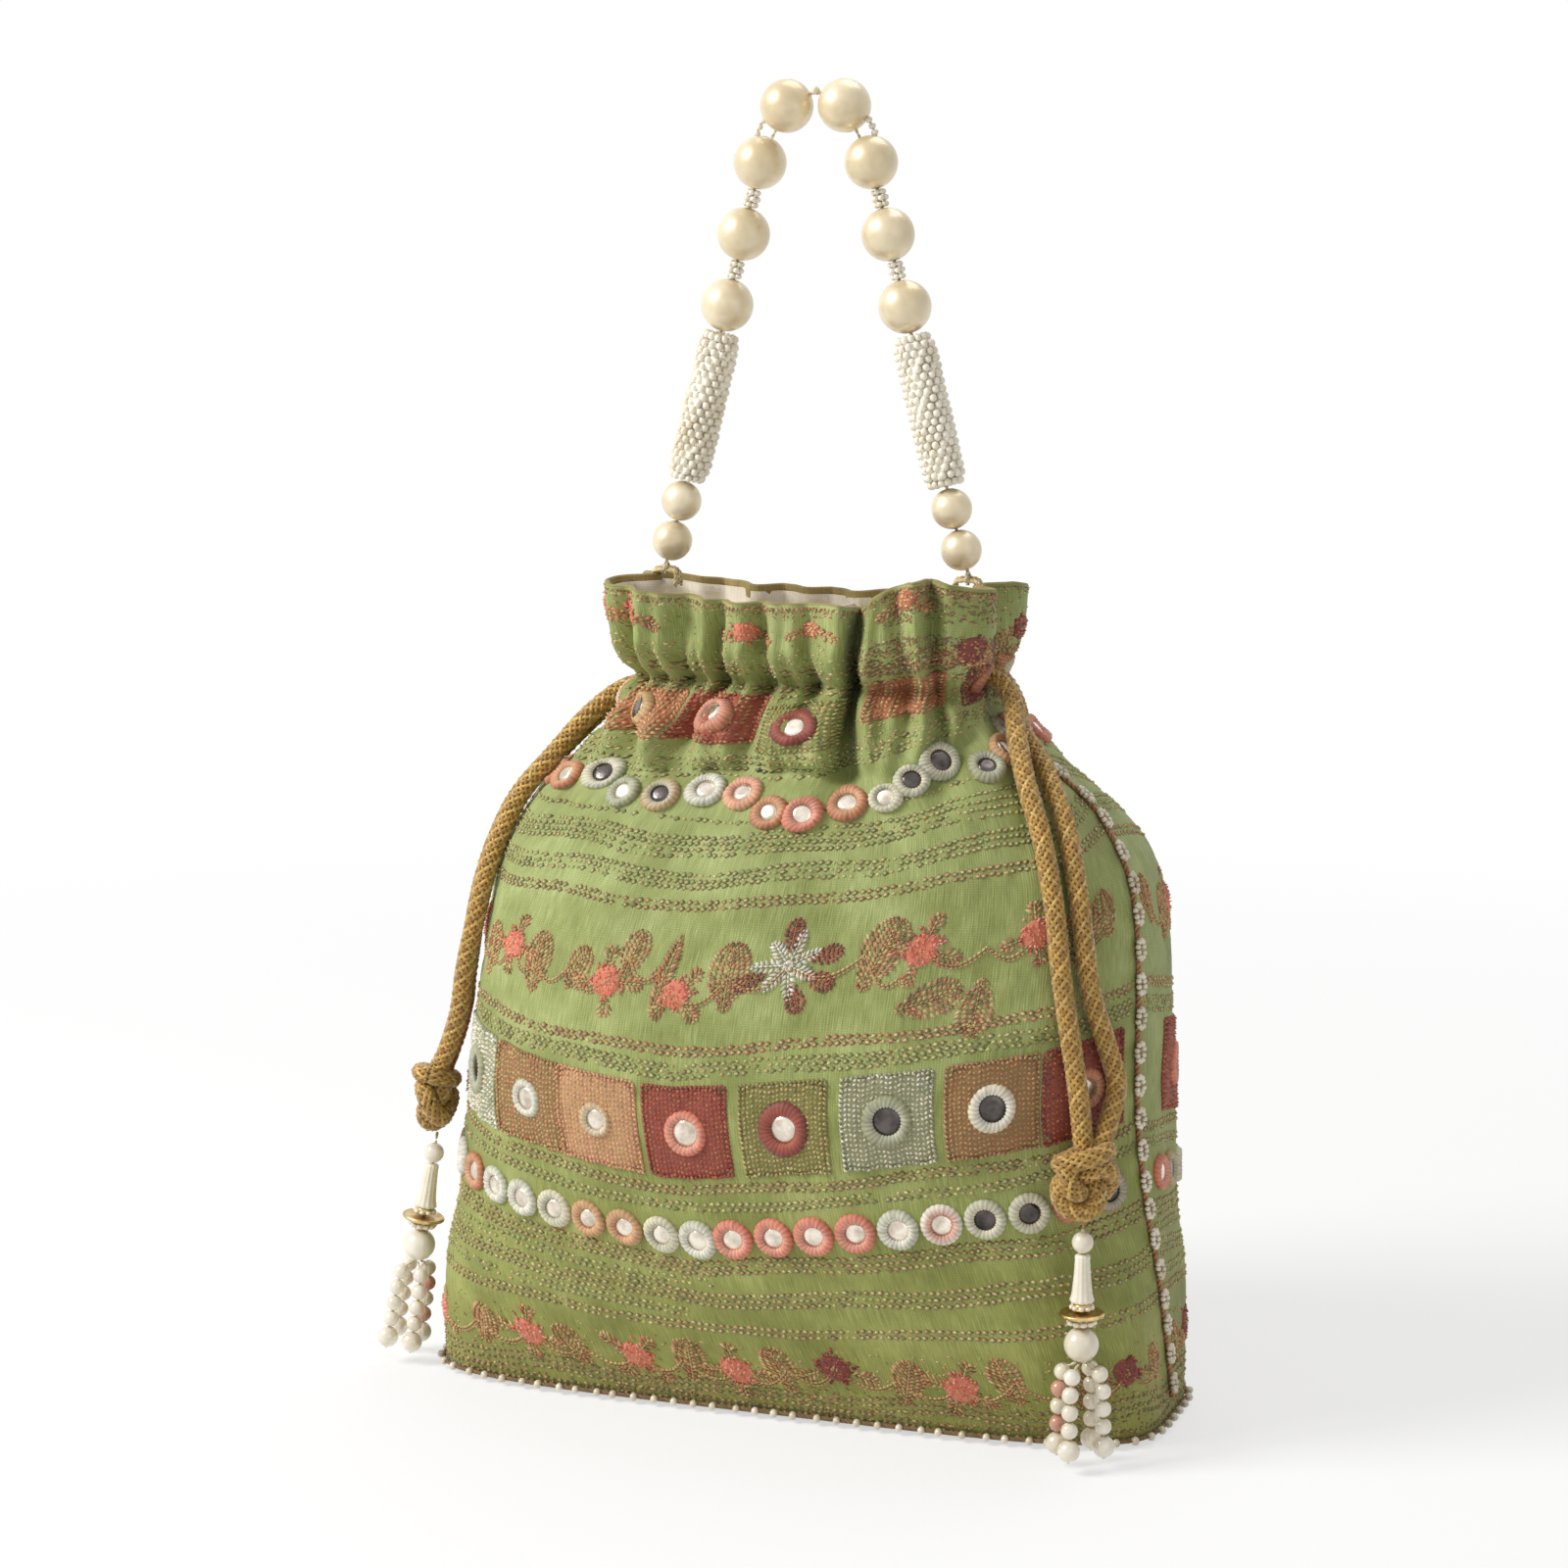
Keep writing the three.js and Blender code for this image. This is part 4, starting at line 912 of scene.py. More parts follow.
class Needle:
    """Sews on one panel. A place is u across and r up; offsets from it are in millimetres along the cloth."""

    def __init__(self, cloth, mirrored):
        self.cloth, self.mirrored = cloth, mirrored
        self.bars, self.pads, self.glass, self.dark = [], Heap(), Heap(), Heap()

    def lay(self, u, r, dx, dy, lift):
        """The points at offsets dx and dy from places, raised off the cloth by lift."""
        way = 1 - u if self.mirrored else u
        h = r + drift(way, r)
        across = u + dx / self.cloth.span(h)
        way = 1 - across if self.mirrored else across
        h = np.clip(r + drift(way, r) + dy / self.cloth.steep(h), 0.8, TOP - 0.5)
        return self.cloth.at(across, h, lift)

    def sew(self, u, r, a, b, width, height, dye):
        """Bars from a to b: arrays of offsets (n, 2) from places u, r."""
        a, b = np.broadcast_arrays(np.atleast_2d(a), np.atleast_2d(b))
        n = max(len(a), np.size(u), np.size(r))
        full = lambda v: np.broadcast_to(np.asarray(v, float), (n,))
        dye = np.broadcast_to(np.atleast_2d(dye), (n, 3)) * rng.uniform(0.84, 1.16, (n, 1))
        self.bars.append((full(u), full(r), np.broadcast_to(a, (n, 2)), np.broadcast_to(b, (n, 2)),
                          full(width), full(height), dye))

    def knots(self, r, rows, dyes, ground, pitch=1.85, u_high=1.0, sway=0.35, bare=0.1):
        """A band of staggered rows of light knots over a darker ground of low bars, painted shade between the
        knots, which is left out here and there.
        """
        edge, row_gap = 1.6, 1.45
        for k in range(rows):
            level = r + (k - (rows - 1) / 2) * row_gap
            span = self.cloth.span(level)
            s = np.arange(edge, min(span - edge, u_high * span), pitch) + pitch / 2 * (k % 2)
            n = len(s)
            s = s + rng.uniform(-0.2, 0.2, n)
            wander = level + sway * np.sin(s / 8.0 + r) + rng.uniform(-0.16, 0.16, n)
            thin = 0.5 + 0.5 * np.sin(s / 11.0 + 2.3 * r + k)
            kept = rng.random(n) > bare * 2 * thin
            half = pairs_of(rng.uniform(0.8, 1.15, n), rng.uniform(-0.2, 0.2, n))[kept]
            # the ground bars: painted shade between the knots
            self.sew(s[kept] / span, wander[kept], -half, half, 1.45, 0.14, DYES[ground])
            kept = rng.random(n) > bare * thin
            half = pairs_of(rng.uniform(0.4, 0.66, n), rng.uniform(-0.3, 0.3, n))[kept]
            self.sew(s[kept] / span, wander[kept], -half, half, 0.8, 0.5, pick(dyes, n)[kept])

    def overcast(self, r, dyes, pitch=0.95):
        """A row of short upright stitches over the hem."""
        span = self.cloth.span(r)
        s = np.arange(1.0, span - 1.0, pitch) + rng.uniform(-0.15, 0.15)
        n = len(s)
        half = pairs_of(rng.uniform(0.1, 0.4, n), rng.uniform(0.8, 1.2, n))
        dye = pick(dyes, n)
        self.sew(s / span, r + rng.uniform(-0.2, 0.2, n), -half, half, 0.62, 0.45, dye)

    def scatter(self, count, low, high, dyes, u_low=0.02, u_high=0.98, length=1.1):
        """Loose stitches strewn between two heights."""
        u = rng.uniform(u_low, u_high, count)
        r = rng.uniform(low, high, count)
        angle = rng.uniform(-0.7, 0.7, count)
        half = pairs_of(np.cos(angle), np.sin(angle)) * length / 2 * rng.uniform(0.7, 1.2, (count, 1))
        self.sew(u, r, -half, half, 0.5, 0.32, pick(dyes, count))

    def pad(self, u, r, half_w, half_h, corner, height, dye, at=(0, 0)):
        """A low cushion under the stitches, rounded at its corners and let into the cloth along its edge."""
        steps = max(4, int(max(half_w, half_h) / 1.7))
        t = np.linspace(-1, 1, 2 * steps + 1)
        x, y = np.meshgrid(t, t)
        reach = np.maximum(np.abs(x), np.abs(y))
        rounded = reach / np.maximum((np.abs(x) ** corner + np.abs(y) ** corner) ** (1 / corner), 1e-9)
        x, y = at[0] + x * rounded * half_w, at[1] + y * rounded * half_h
        full = np.ones(x.size)
        layers = []
        for lift in (height * (1 - reach**8) - 0.2 * (reach > 0.99), np.full_like(x, -0.3)):
            points = self.lay(u * full, r * full, x.ravel(), y.ravel(), lift.ravel())
            layers.append(points.reshape(*x.shape, 3))
        self.pads.add(*shell(*layers), dye)

    def patch(self, u, r, half_w, half_h, ground, dyes, hole):
        """A filled square: a coloured cushion under rows of small stitches that slant to and fro."""
        self.pad(u, r, half_w, half_h, 7, 0.42, DYES[ground] * 0.88)
        phase = rng.uniform(0, 6)
        for y in np.arange(-half_h + 0.8, half_h - 0.5, 1.22):
            x = np.arange(-half_w + 0.8, half_w - 0.6, 1.08)
            n = len(x)
            slant = np.where(np.arange(n) % 2, 0.42, -0.42) + rng.uniform(-0.16, 0.16, n)
            level = y + 0.3 * np.sin(x * 0.9 + phase) + rng.uniform(-0.12, 0.12, n)
            x = x + rng.uniform(-0.14, 0.14, n)
            clear = (x / hole) ** 2 + (y / hole) ** 2 > 0.7
            a = pairs_of(x - 0.5, level - slant)[clear]
            b = pairs_of(x + 0.5, level + slant)[clear]
            dye = pick(dyes, len(a))
            self.sew(u, r, a, b, 0.76, rng.uniform(0.8, 1.2, len(a)), dye)
        corners = np.array([(-1, -1), (1, -1), (1, 1), (-1, 1), (-1, -1)]) * 0.95
        self.stem(u, r, corners * (half_w, half_h), ground, 0.95)

    def seat(self, u, r, reach):
        """The flat place of a round of glass: its middle, the ways across and up, and the way out."""
        n = 12
        a = np.arange(n) * TURN / n
        x, y = reach * np.cos(a), reach * np.sin(a)
        p = self.lay(np.full(n, u), np.full(n, r), x, y, np.zeros(n))
        middle, across, up = np.linalg.lstsq(np.stack([np.ones(n), x, y], 1), p, rcond=None)[0]
        out = unit(np.cross(across, up))
        across = unit(across)
        above = (p - middle) @ out
        nought = np.zeros(1)
        heart = self.lay(nought + u, nought + r, nought, nought, nought)[0]
        raised = max(0.8 * np.quantile(above, 0.75), (heart - middle) @ out + 0.1)
        return middle + out * raised, across, np.cross(out, across), out

    def ring(self, u, r, inner, outer, tall, dyes, seat, height=1.35):
        """A padded round of yarn, ridged by its stitches with painted shade in the grooves, and lighter
        towards the glass.
        """
        ridges = max(12, round(TURN * outer / 1.4))
        around = ridges * 3
        slope = np.linspace(-0.3, math.pi + 0.3, 6)
        t, p = np.meshgrid(np.arange(around) * TURN / around, slope, indexing="ij")
        ridge = np.cos(ridges * t + 1.2 * np.cos(p))
        reach = (inner + outer) / 2 + (outer - inner) / 2 * np.cos(p) * (1 + 0.07 * ridge)
        lift = (height * np.sin(p) * (1 + 0.1 * ridge) + 0.05).ravel()
        x, y = (reach * np.cos(t)).ravel(), (reach * np.sin(t) * tall).ravel()
        full = np.ones(t.size)
        inward = (0.5 - 0.5 * np.cos(p))[..., None]
        rigid = 0.3 + 0.7 * inward.reshape(-1, 1)
        verts = self.lay(u * full, r * full, x, y, lift) * (1 - rigid) + place(seat, x, y, lift) * rigid
        each = np.repeat(rng.uniform(0.86, 1.12, ridges), 3)[:, None, None]
        # painted shade: darker in the grooves between the ridges, lighter on their crests
        shade = (0.88 + 0.16 * ridge)[..., None] * each
        dye = (DYES[dyes[0]] * (1 - inward) + DYES[dyes[1]] * inward) * shade
        index = np.arange(t.size).reshape(around, len(slope))
        turn = np.roll(index, -1, 0)
        faces = quads(index, turn, np.roll(turn, -1, 1), np.roll(index, -1, 1))
        self.pads.add(verts, faces, dye.reshape(-1, 3))

    def mirror(self, u, r, inner, outer, dyes, dark=False, tall=1.0):
        """A round of glass held by a padded round of yarn."""
        sides = 20
        a = np.arange(sides) * TURN / sides
        tilt = rng.uniform(-0.12, 0.12, 2)
        seat = self.seat(u, r, outer)
        verts = []
        for share, lift in ((1.12, 0.05), (1.12, 0.62), (0.6, 0.74)):
            x, y = inner * share * np.cos(a), inner * share * np.sin(a) * tall
            verts.append(place(seat, x, y, lift + 0.06 * (tilt[0] * x + tilt[1] * y)))
        for lift in (0.78, 0.05):
            verts.append(place(seat, np.zeros(1), np.zeros(1), np.array([lift])))
        low, high, inside = np.arange(3 * sides).reshape(3, sides).tolist()
        heart, under = [3 * sides], [3 * sides + 1]
        faces = bridge(low, high) + bridge(high, inside) + bridge(inside, heart) + bridge(under, low)
        # dim glass takes the painted dark reflection
        (self.dark if dark else self.glass).add(np.concatenate(verts), faces)
        self.ring(u, r, inner, outer, tall, dyes, seat)

    def leaf(self, u, r, at, angle, length, width, dyes, vein="gold"):
        """A feathered leaf: pairs of short loops, in one or more steps out from the vein."""
        at = np.asarray(at, float)
        way = heading(angle)
        side = np.array([-way[1], way[0]])
        pairs = max(4, int(length / 1.15))
        t = (np.arange(pairs) + 0.4) / pairs
        wide = width / 2 * np.sin(np.pi * t**0.75) ** 0.7
        steps = max(1, int(width / 2 / 1.2))
        root = at + np.outer(t * length, way)
        for hand in (1, -1):
            for k in range(steps):
                ends = []
                for share in ((k + 0.08) / steps, (k + 1.12) / steps):
                    end = root + np.outer(wide * share * hand, side) + np.outer(wide * share * 0.8, way)
                    ends.append(end + rng.uniform(-0.14, 0.14, end.shape))
                dye = pick(dyes, pairs)
                self.sew(u, r, *ends, 0.92, rng.uniform(0.42, 0.66, pairs), dye)
        self.stem(u, r, [at, at + way * length * 0.94], vein)

    def stem(self, u, r, points, dye="gold", width=0.55):
        """A line of stitches that overlap."""
        p = np.asarray(points, float)
        along = distances(p)
        at = np.arange(0, max(along[-1] - 0.6, 0.1), 1.15)
        self.sew(u, r, walk(p, along, at), walk(p, along, at + 1.5) + (0.0, 0.22), width, 0.55, DYES[dye])

    def flower(self, u, r, at, size, dyes, heart="gold", spin=0.0, petals=5):
        """A tuft of short stitches with a lobed edge, lighter knots over them and a heart of knots."""
        at = np.asarray(at, float)
        self.pad(u, r, size * 0.74, size * 0.74, 2, 0.36, DYES[dyes[0]] * 0.9, at)
        for share, count, width, height, shade in TUFTS:
            count = int(count * (size / 4.6) ** 2)
            turn = rng.uniform(0, TURN, count)
            lobes = 0.86 + 0.16 * np.cos(petals * (turn - spin))
            reach = size * share * np.sqrt(rng.uniform(0.08, 1, count)) * lobes
            spot = at + pairs_of(np.cos(turn), np.sin(turn)) * reach[:, None]
            lean = turn + rng.uniform(-0.9, 0.9, count)
            half = pairs_of(np.cos(lean), np.sin(lean)) * rng.uniform(0.4, 0.7, (count, 1))
            self.sew(u, r, spot - half, spot + half, width, height, pick(dyes, count) * shade)
        knots = at + rng.uniform(-0.9, 0.9, (4, 2))
        self.sew(u, r, knots - (0.3, 0.1), knots + (0.3, 0.1), 0.7, 1.25, DYES[heart])

    def make(self, name):
        """Objects of at most MOST_STITCHES stitches, and one each for pads, bright mirrors and dim mirrors
        with a painted dark reflection.
        """
        u, r, a, b, wide, high, dye = (np.concatenate(x) for x in zip(*self.bars))
        way = b - a
        length = np.maximum(np.linalg.norm(way, axis=1), 0.05)[:, None]
        side = pairs_of(-way[:, 1], way[:, 0]) / length * wide[:, None] / 2
        corners = []
        for share, across, lift in STITCH:
            p = a + way * share + side * across
            corners.append(self.lay(u, r, p[:, 0], p[:, 1], lift * high))
        verts = np.stack(corners, 1)
        for k, first in enumerate(range(0, len(verts), MOST_STITCHES)):
            part = verts[first:first + MOST_STITCHES]
            faces = (np.arange(len(part))[:, None, None] * len(STITCH) + STITCH_FACES).reshape(-1, 3)
            dyes = np.repeat(dye[first:first + MOST_STITCHES], len(STITCH), axis=0)
            build(f"{name}_stitches_{k + 1}", part.reshape(-1, 3), faces, YARN, "pouch",
                  dye=dyes)
        for heap, kind, material in ((self.pads, "pads", YARN), (self.glass, "mirrors", GLASS),
                                     (self.dark, "mirrors_painted_dark_reflection", DARK_REFLECTION_GLASS)):
            heap.make(f"{name}_{kind}", material, "pouch", "embroidered_cloth")


LEAF_DYES = ("rust", "tan", "clay", "gold", "bark")
WINE_DYES = ("wine", "red", "brick")


def vine(needle, middle, motifs):
    """A wandering stem with flowers and leaves on it; each motif is u, rise, kind, size and turn."""
    order = sorted(motifs)
    t = np.linspace(0, 1, 9)
    for (u0, y0, *_), (u1, y1, *_) in zip(order, order[1:]):
        gap = (u1 - u0) * needle.cloth.span(middle)
        curve = pairs_of(t * gap, y0 + (y1 - y0) * t - 4.2 * np.sin(np.pi * t))
        needle.stem(u0, middle, curve, "gold", 0.7)
        needle.stem(u0, middle, curve + (0.3, -0.8), "tan", 0.55)
    for u, rise, kind, size, turn in motifs:
        at = np.array([0, rise])
        if kind == "coral":
            for way, reach in ((-0.9, 1.1), (2.4, 1.0), (0.7, 0.9), (3.9, 0.9)):
                start = heading(way + turn) * size * 0.6
                needle.leaf(u, middle, start + at, way + turn, size * reach, size * 0.7, LEAF_DYES)
            needle.flower(u, middle, at, size, ("coral", "coral", "pink", "rust"), "peach", turn)
        elif kind == "wine":
            needle.leaf(u, middle, (size * 0.7, rise - 1), -0.4, size * 1.2, size * 0.7, LEAF_DYES)
            needle.leaf(u, middle, (-size * 0.7, rise - 1), 3.5, size * 1.1, size * 0.7, LEAF_DYES)
            needle.flower(u, middle, at, size, WINE_DYES, "gold", turn)
        elif kind == "pale":
            for a, reach in ((1.6, 0.4), (0.2, 0.55), (-1.25, 0.55), (3.5, 0.6), (-0.5, 0.6)):
                start = heading(a) * size * reach + at
                needle.leaf(u, middle, start, a, size * 0.95, size * 0.56, WINE_DYES, "rust")
            for k in range(7):
                length = size * (0.94 + 0.12 * (k % 2))
                pale = ("grey", "cream", "white")
                needle.leaf(u, middle, at, turn + 0.8976 * k, length, size * 0.4, pale, "white")
        else:
            wide, dyes = (0.22, ("bark", "rust", "tan")) if kind == "stalk" else (0.6, LEAF_DYES)
            needle.leaf(u, middle, (0, rise - size / 2), turn, size, size * wide, dyes)


def embroider(needle, squares, upper, lower_rings, upper_rings, mid_vine, low_vine, rim):
    """All the bands of one panel, from the rim down to the base."""
    # rim and ruffle
    for u, r, size, dyes in rim:
        needle.leaf(u, r, (size * 0.6, -0.5), -0.5, size * 1.4, size * 0.8, ("rust", "tan", "clay"))
        needle.leaf(u, r, (-size * 0.6, -0.3), 3.6, size * 1.4, size * 0.8, ("clay", "tan", "rust"))
        needle.flower(u, r, (0, 0), size, dyes, "gold", u * 9)
    needle.scatter(370, 185.5, 191, ("straw", "tan", "gold", "sage"), length=0.9)
    needle.scatter(210, 191, 203, ("straw", "moss", "tan"), length=0.9)
    needle.scatter(340, 200.8, 203.6, ("tan", "bark", "straw"), length=0.9)
    needle.scatter(420, 195, 203.4, ("bark", "brown", "umber", "olive"), 0.7, 0.99, 1.0)
    needle.scatter(720, 182, 192, ("bark", "brown", "umber", "brown", "mauve"), 0.66, 0.99, 1.0)
    needle.scatter(260, 200.4, 203.4, ("tan", "bark", "clay", "brown"), 0.72, 0.99, 1.1)
    needle.overcast(203.0, ("tan", "bark", "clay", "brown"))
    needle.knots(184.4, 2, ("straw", "tan", "gold", "clay"), "umber")
    rows = np.arange(184, 203, 1.3)
    for edge, inward in ((0.0, 1), (1.0, -1)):
        for step in (1.0, 2.4, 3.8):
            dye = pick(("rust", "tan", "bark"), len(rows))
            needle.sew(edge, rows, (inward * (step - 0.6), -0.3), (inward * (step + 0.6), 0.5), 0.7, 0.5, dye)
    # squares gathered under the neck
    for u, r, w, h, ground, dyes, ring, dim in upper:
        needle.patch(u, r, w, h, ground, dyes, 4.0 if ring else 0.5)
        if ring:
            needle.mirror(u, r, 2.7, 5.5, ring, dim, 0.95)
    needle.knots(161.6, 4, ("sage", "straw", "gold"), "olive", sway=0.8, bare=0.34)
    needle.knots(179.4, 2, ("straw", "tan", "gold"), "umber")
    needle.scatter(1200, 163, 181, ("gold", "straw", "tan", "peach", "sage"), length=0.9)
    # upper row of mirrors
    for u, rise, size, (dyes, dim) in upper_rings:
        needle.mirror(u, 153.6 + rise, 2.3 * size, 4.95 * size, dyes, dim, 0.98)
    # bands of knots over the shoulder
    needle.knots(150.4, 1, ("sage", "gold"), "olive", bare=0.35)
    needle.knots(144.6, 4, ("sage", "sage", "straw", "gold"), "olive", 1.7, sway=0.9, bare=0.24)
    needle.knots(137.0, 3, ("sage", "sage", "gold", "straw"), "olive", 1.7, sway=0.9, bare=0.24)
    needle.knots(130.8, 2, ("straw", "gold", "tan"), "umber", sway=0.6)
    vine(needle, 113.0, mid_vine)
    # the bands over the squares, the squares and the bands under them
    needle.knots(95.4, 2, ("straw", "tan", "gold"), "bark")
    needle.knots(90.6, 3, ("gold", "sage", "straw"), "olive", bare=0.25)
    for u, (ground, dyes, inner, outer, ring, dim) in squares:
        needle.patch(u, 75.0, 11.6, 11.9, ground, dyes, outer)
        needle.mirror(u, 75.0, inner, outer, ring, dim, 1.04)
    needle.knots(60.6, 2, ("straw", "tan", "gold"), "umber")
    needle.knots(56.2, 2, ("gold", "sage", "straw"), "olive", bare=0.25)
    # lower row of mirrors and the bands under it
    for u, (dyes, dim) in lower_rings:
        size = 0.93 if u < 0.5 else 1.0
        needle.mirror(u, 48.2, 2.5 * size, 5.15 * size, dyes, dim)
    needle.knots(41.0, 3, ("straw", "tan", "gold"), "umber")
    needle.knots(36.8, 2, ("straw", "sage", "gold"), "olive", u_high=0.5, bare=0.4)
    needle.knots(32.6, 3, ("straw", "gold", "sage"), "umber")
    needle.knots(28.4, 2, ("straw", "sage", "gold"), "olive", u_high=0.46, bare=0.4)
    needle.knots(24.4, 2, ("straw", "tan", "gold"), "umber")
    vine(needle, 13.0, low_vine)
    needle.knots(6.4, 3, ("bark", "tan", "olive", "gold"), "umber", sway=0.9)
    needle.scatter(720, 2.2, 10, ("brown", "olive", "gold", "bark", "tan"))
    needle.scatter(340, 9, 20, ("olive", "gold", "moss", "tan"))
    needle.knots(2.6, 2, ("bark", "tan", "olive"), "umber")


# Each square: ground, stitches, the ring's inner and outer reach, its dyes, and whether the glass is dim,
# with a painted dark reflection
SQUARES = {
    "wine": ("brick", ("red", "wine", "rust"), 2.4, 5.0, ("coral", "peach"), False),
    "grey": ("slate", ("white", "cream", "grey"), 3.2, 6.3, ("slate", "grey"), True),
    "brown": ("bark", ("tan", "clay", "gold"), 2.7, 4.7, ("grey", "white"), False),
    "peach": ("tan", ("peach", "peach", "pink"), 2.5, 4.4, ("tan", "cream"), False),
    "red": ("brick", ("red", "red", "rust"), 3.2, 5.6, ("coral", "pink"), False),
    "green": ("fern", ("moss", "gold", "straw"), 3.1, 6.7, ("wine", "red"), False),
    "brown_dim": ("bark", ("tan", "clay", "tan"), 3.1, 5.8, ("cream", "white"), True),
}
# Each ring: its dyes, and whether the glass is dim, with a painted dark reflection
RINGS = {
    "rust": (("rust", "peach"), False), "cream": (("cream", "grey"), False), "tan": (("tan", "peach"), False),
    "coral": (("coral", "pink"), False), "white": (("grey", "white"), False),
    "grey_dim": (("grey", "cream"), True), "tan_dim": (("tan", "grey"), True),
    "leaf": (("slate", "grey"), False), "blush": (("white", "pink"), False),
    "peach": (("peach", "pink"), False), "mauve_dim": (("mauve", "grey"), True),
    "slate": (("slate", "grey"), True),
}
SQUARE_PLACES = (0.115, 0.222, 0.32, 0.41, 0.512, 0.62, 0.728, 0.834, 0.932)
LOW_RING_PLACES = [(0.0455 + 0.0415 * k,) for k in range(12)] + [(0.541 + 0.0455 * k,) for k in range(10)]
# Each ring of the upper row: u, rise and size; the row hangs in swags between the gathers
HIGH_RING_PLACES = [
    (0.04, 0.0, 0.9), (0.1, 0.6, 1.0), (0.145, 1.6, 0.9), (0.195, 2.2, 0.95), (0.263, 4.4, 1.1),
    (0.323, 1.2, 0.95), (0.38, 1.3, 0.95), (0.437, 3.0, 1.05), (0.495, 2.8, 1.05), (0.543, -1.6, 0.95),
    (0.586, -3.0, 1.0), (0.643, -2.6, 1.05), (0.697, -2.6, 0.9), (0.738, -0.2, 0.95), (0.79, 1.6, 1.15),
    (0.858, -2.2, 0.95), (0.912, -1.0, 0.95), (0.965, 0.0, 0.9),
]
MID_VINE = [
    (0.09, 2, "leaf", 13.4, 1.9), (0.17, 3, "coral", 5.1, 0.3), (0.225, -1, "leaf", 14.6, 1.5),
    (0.27, 2, "coral", 5.3, 0.7), (0.315, -1, "leaf", 15.7, 1.65), (0.36, 0, "leaf", 12.3, 1.2),
    (0.41, -2.5, "coral", 6, 0.9), (0.43, 5, "leaf", 12.3, 1.4), (0.468, 1, "stalk", 21, 1.38),
    (0.492, -3.8, "coral", 5.6, 0.1), (0.548, 0, "leaf", 17.9, 1.57), (0.61, 2, "pale", 8.6, 0.4),
    (0.69, 3, "leaf", 19, 1.2), (0.728, -4, "leaf", 15.7, 0.2), (0.748, 2.5, "coral", 6, 0.5),
    (0.815, 1, "leaf", 14.6, 4.6), (0.866, 2, "coral", 5.3, 1.0), (0.91, -1, "leaf", 14.6, 1.3),
    (0.955, 2, "leaf", 12.3, 1.8),
]
LOW_VINE = [
    (0.05, 1, "leaf", 11.2, 1.7), (0.12, 0, "coral", 5.1, 0.2), (0.19, 1, "leaf", 13.4, 1.2),
    (0.258, 1.5, "coral", 5.6, 0.6), (0.315, 0, "leaf", 13.4, 1.9), (0.378, 0, "coral", 5.8, 0.1),
    (0.43, 1, "leaf", 14.6, 1.3), (0.487, -0.5, "coral", 5.8, 0.8), (0.545, 1, "leaf", 14.6, 1.75),
    (0.6, 2.6, "wine", 5.9, 0.2), (0.665, 0, "leaf", 14.6, 1.2), (0.73, -1.5, "coral", 6, 0.4),
    (0.79, 1, "leaf", 14.6, 1.8), (0.85, 0, "leaf", 14.6, 1.1), (0.907, 1.5, "wine", 5.7, 0.9),
    (0.96, 0, "leaf", 11.2, 1.6),
]


def squares(kinds):
    return [(u, SQUARES[kind]) for u, kind in zip(SQUARE_PLACES, kinds.split())]


def rings(places, kinds):
    return [(*spot, RINGS[kind]) for spot, kind in zip(places, kinds.split())]


def turned_round(motifs):
    return [(1 - u, *rest) for u, *rest in motifs]


front_needle = Needle(front, False)
embroider(
    front_needle,
    squares("wine grey brown peach red green grey brown_dim wine"),
    [(0.06, 174, 8, 6.5, "rust", ("tan", "peach"), ("cream", "gold"), False),
     (0.228, 173, 10.5, 7.5, "rust", ("tan", "peach", "gold"), ("tan", "gold"), True),
     (0.392, 173, 10.5, 7.8, "red", ("rust", "red", "tan"), ("rust", "pink"), False),
     (0.552, 171, 9.5, 7.5, "olive", ("moss", "gold", "leaf"), ("wine", "red"), False),
     (0.75, 175, 9.5, 6.0, "rust", ("peach", "tan", "gold"), None, False),
     (0.93, 174.5, 9, 7, "wine", ("rust", "wine", "brown"), ("rust", "mauve"), True)],
    rings(LOW_RING_PLACES, "coral tan cream white rust white white cream tan tan cream white "
                           "coral coral coral coral white blush grey_dim grey_dim rust mauve_dim"),
    rings(HIGH_RING_PLACES, "coral cream rust rust grey_dim leaf tan_dim white peach rust "
                            "coral rust cream grey_dim grey_dim slate tan cream"),
    MID_VINE, LOW_VINE,
    [(0.12, 198.5, 3.8, ("rust", "coral")), (0.205, 198, 4.4, ("coral", "rust")),
     (0.43, 196.6, 4.0, ("coral", "peach")), (0.56, 197.5, 3.4, ("rust", "peach")),
     (0.74, 200, 3.6, ("rust", "peach")), (0.86, 189, 4.4, ("wine", "rust")),
     (0.925, 187.5, 4.0, ("wine", "brown"))])
front_needle.make("front")
back_needle = Needle(back, True)
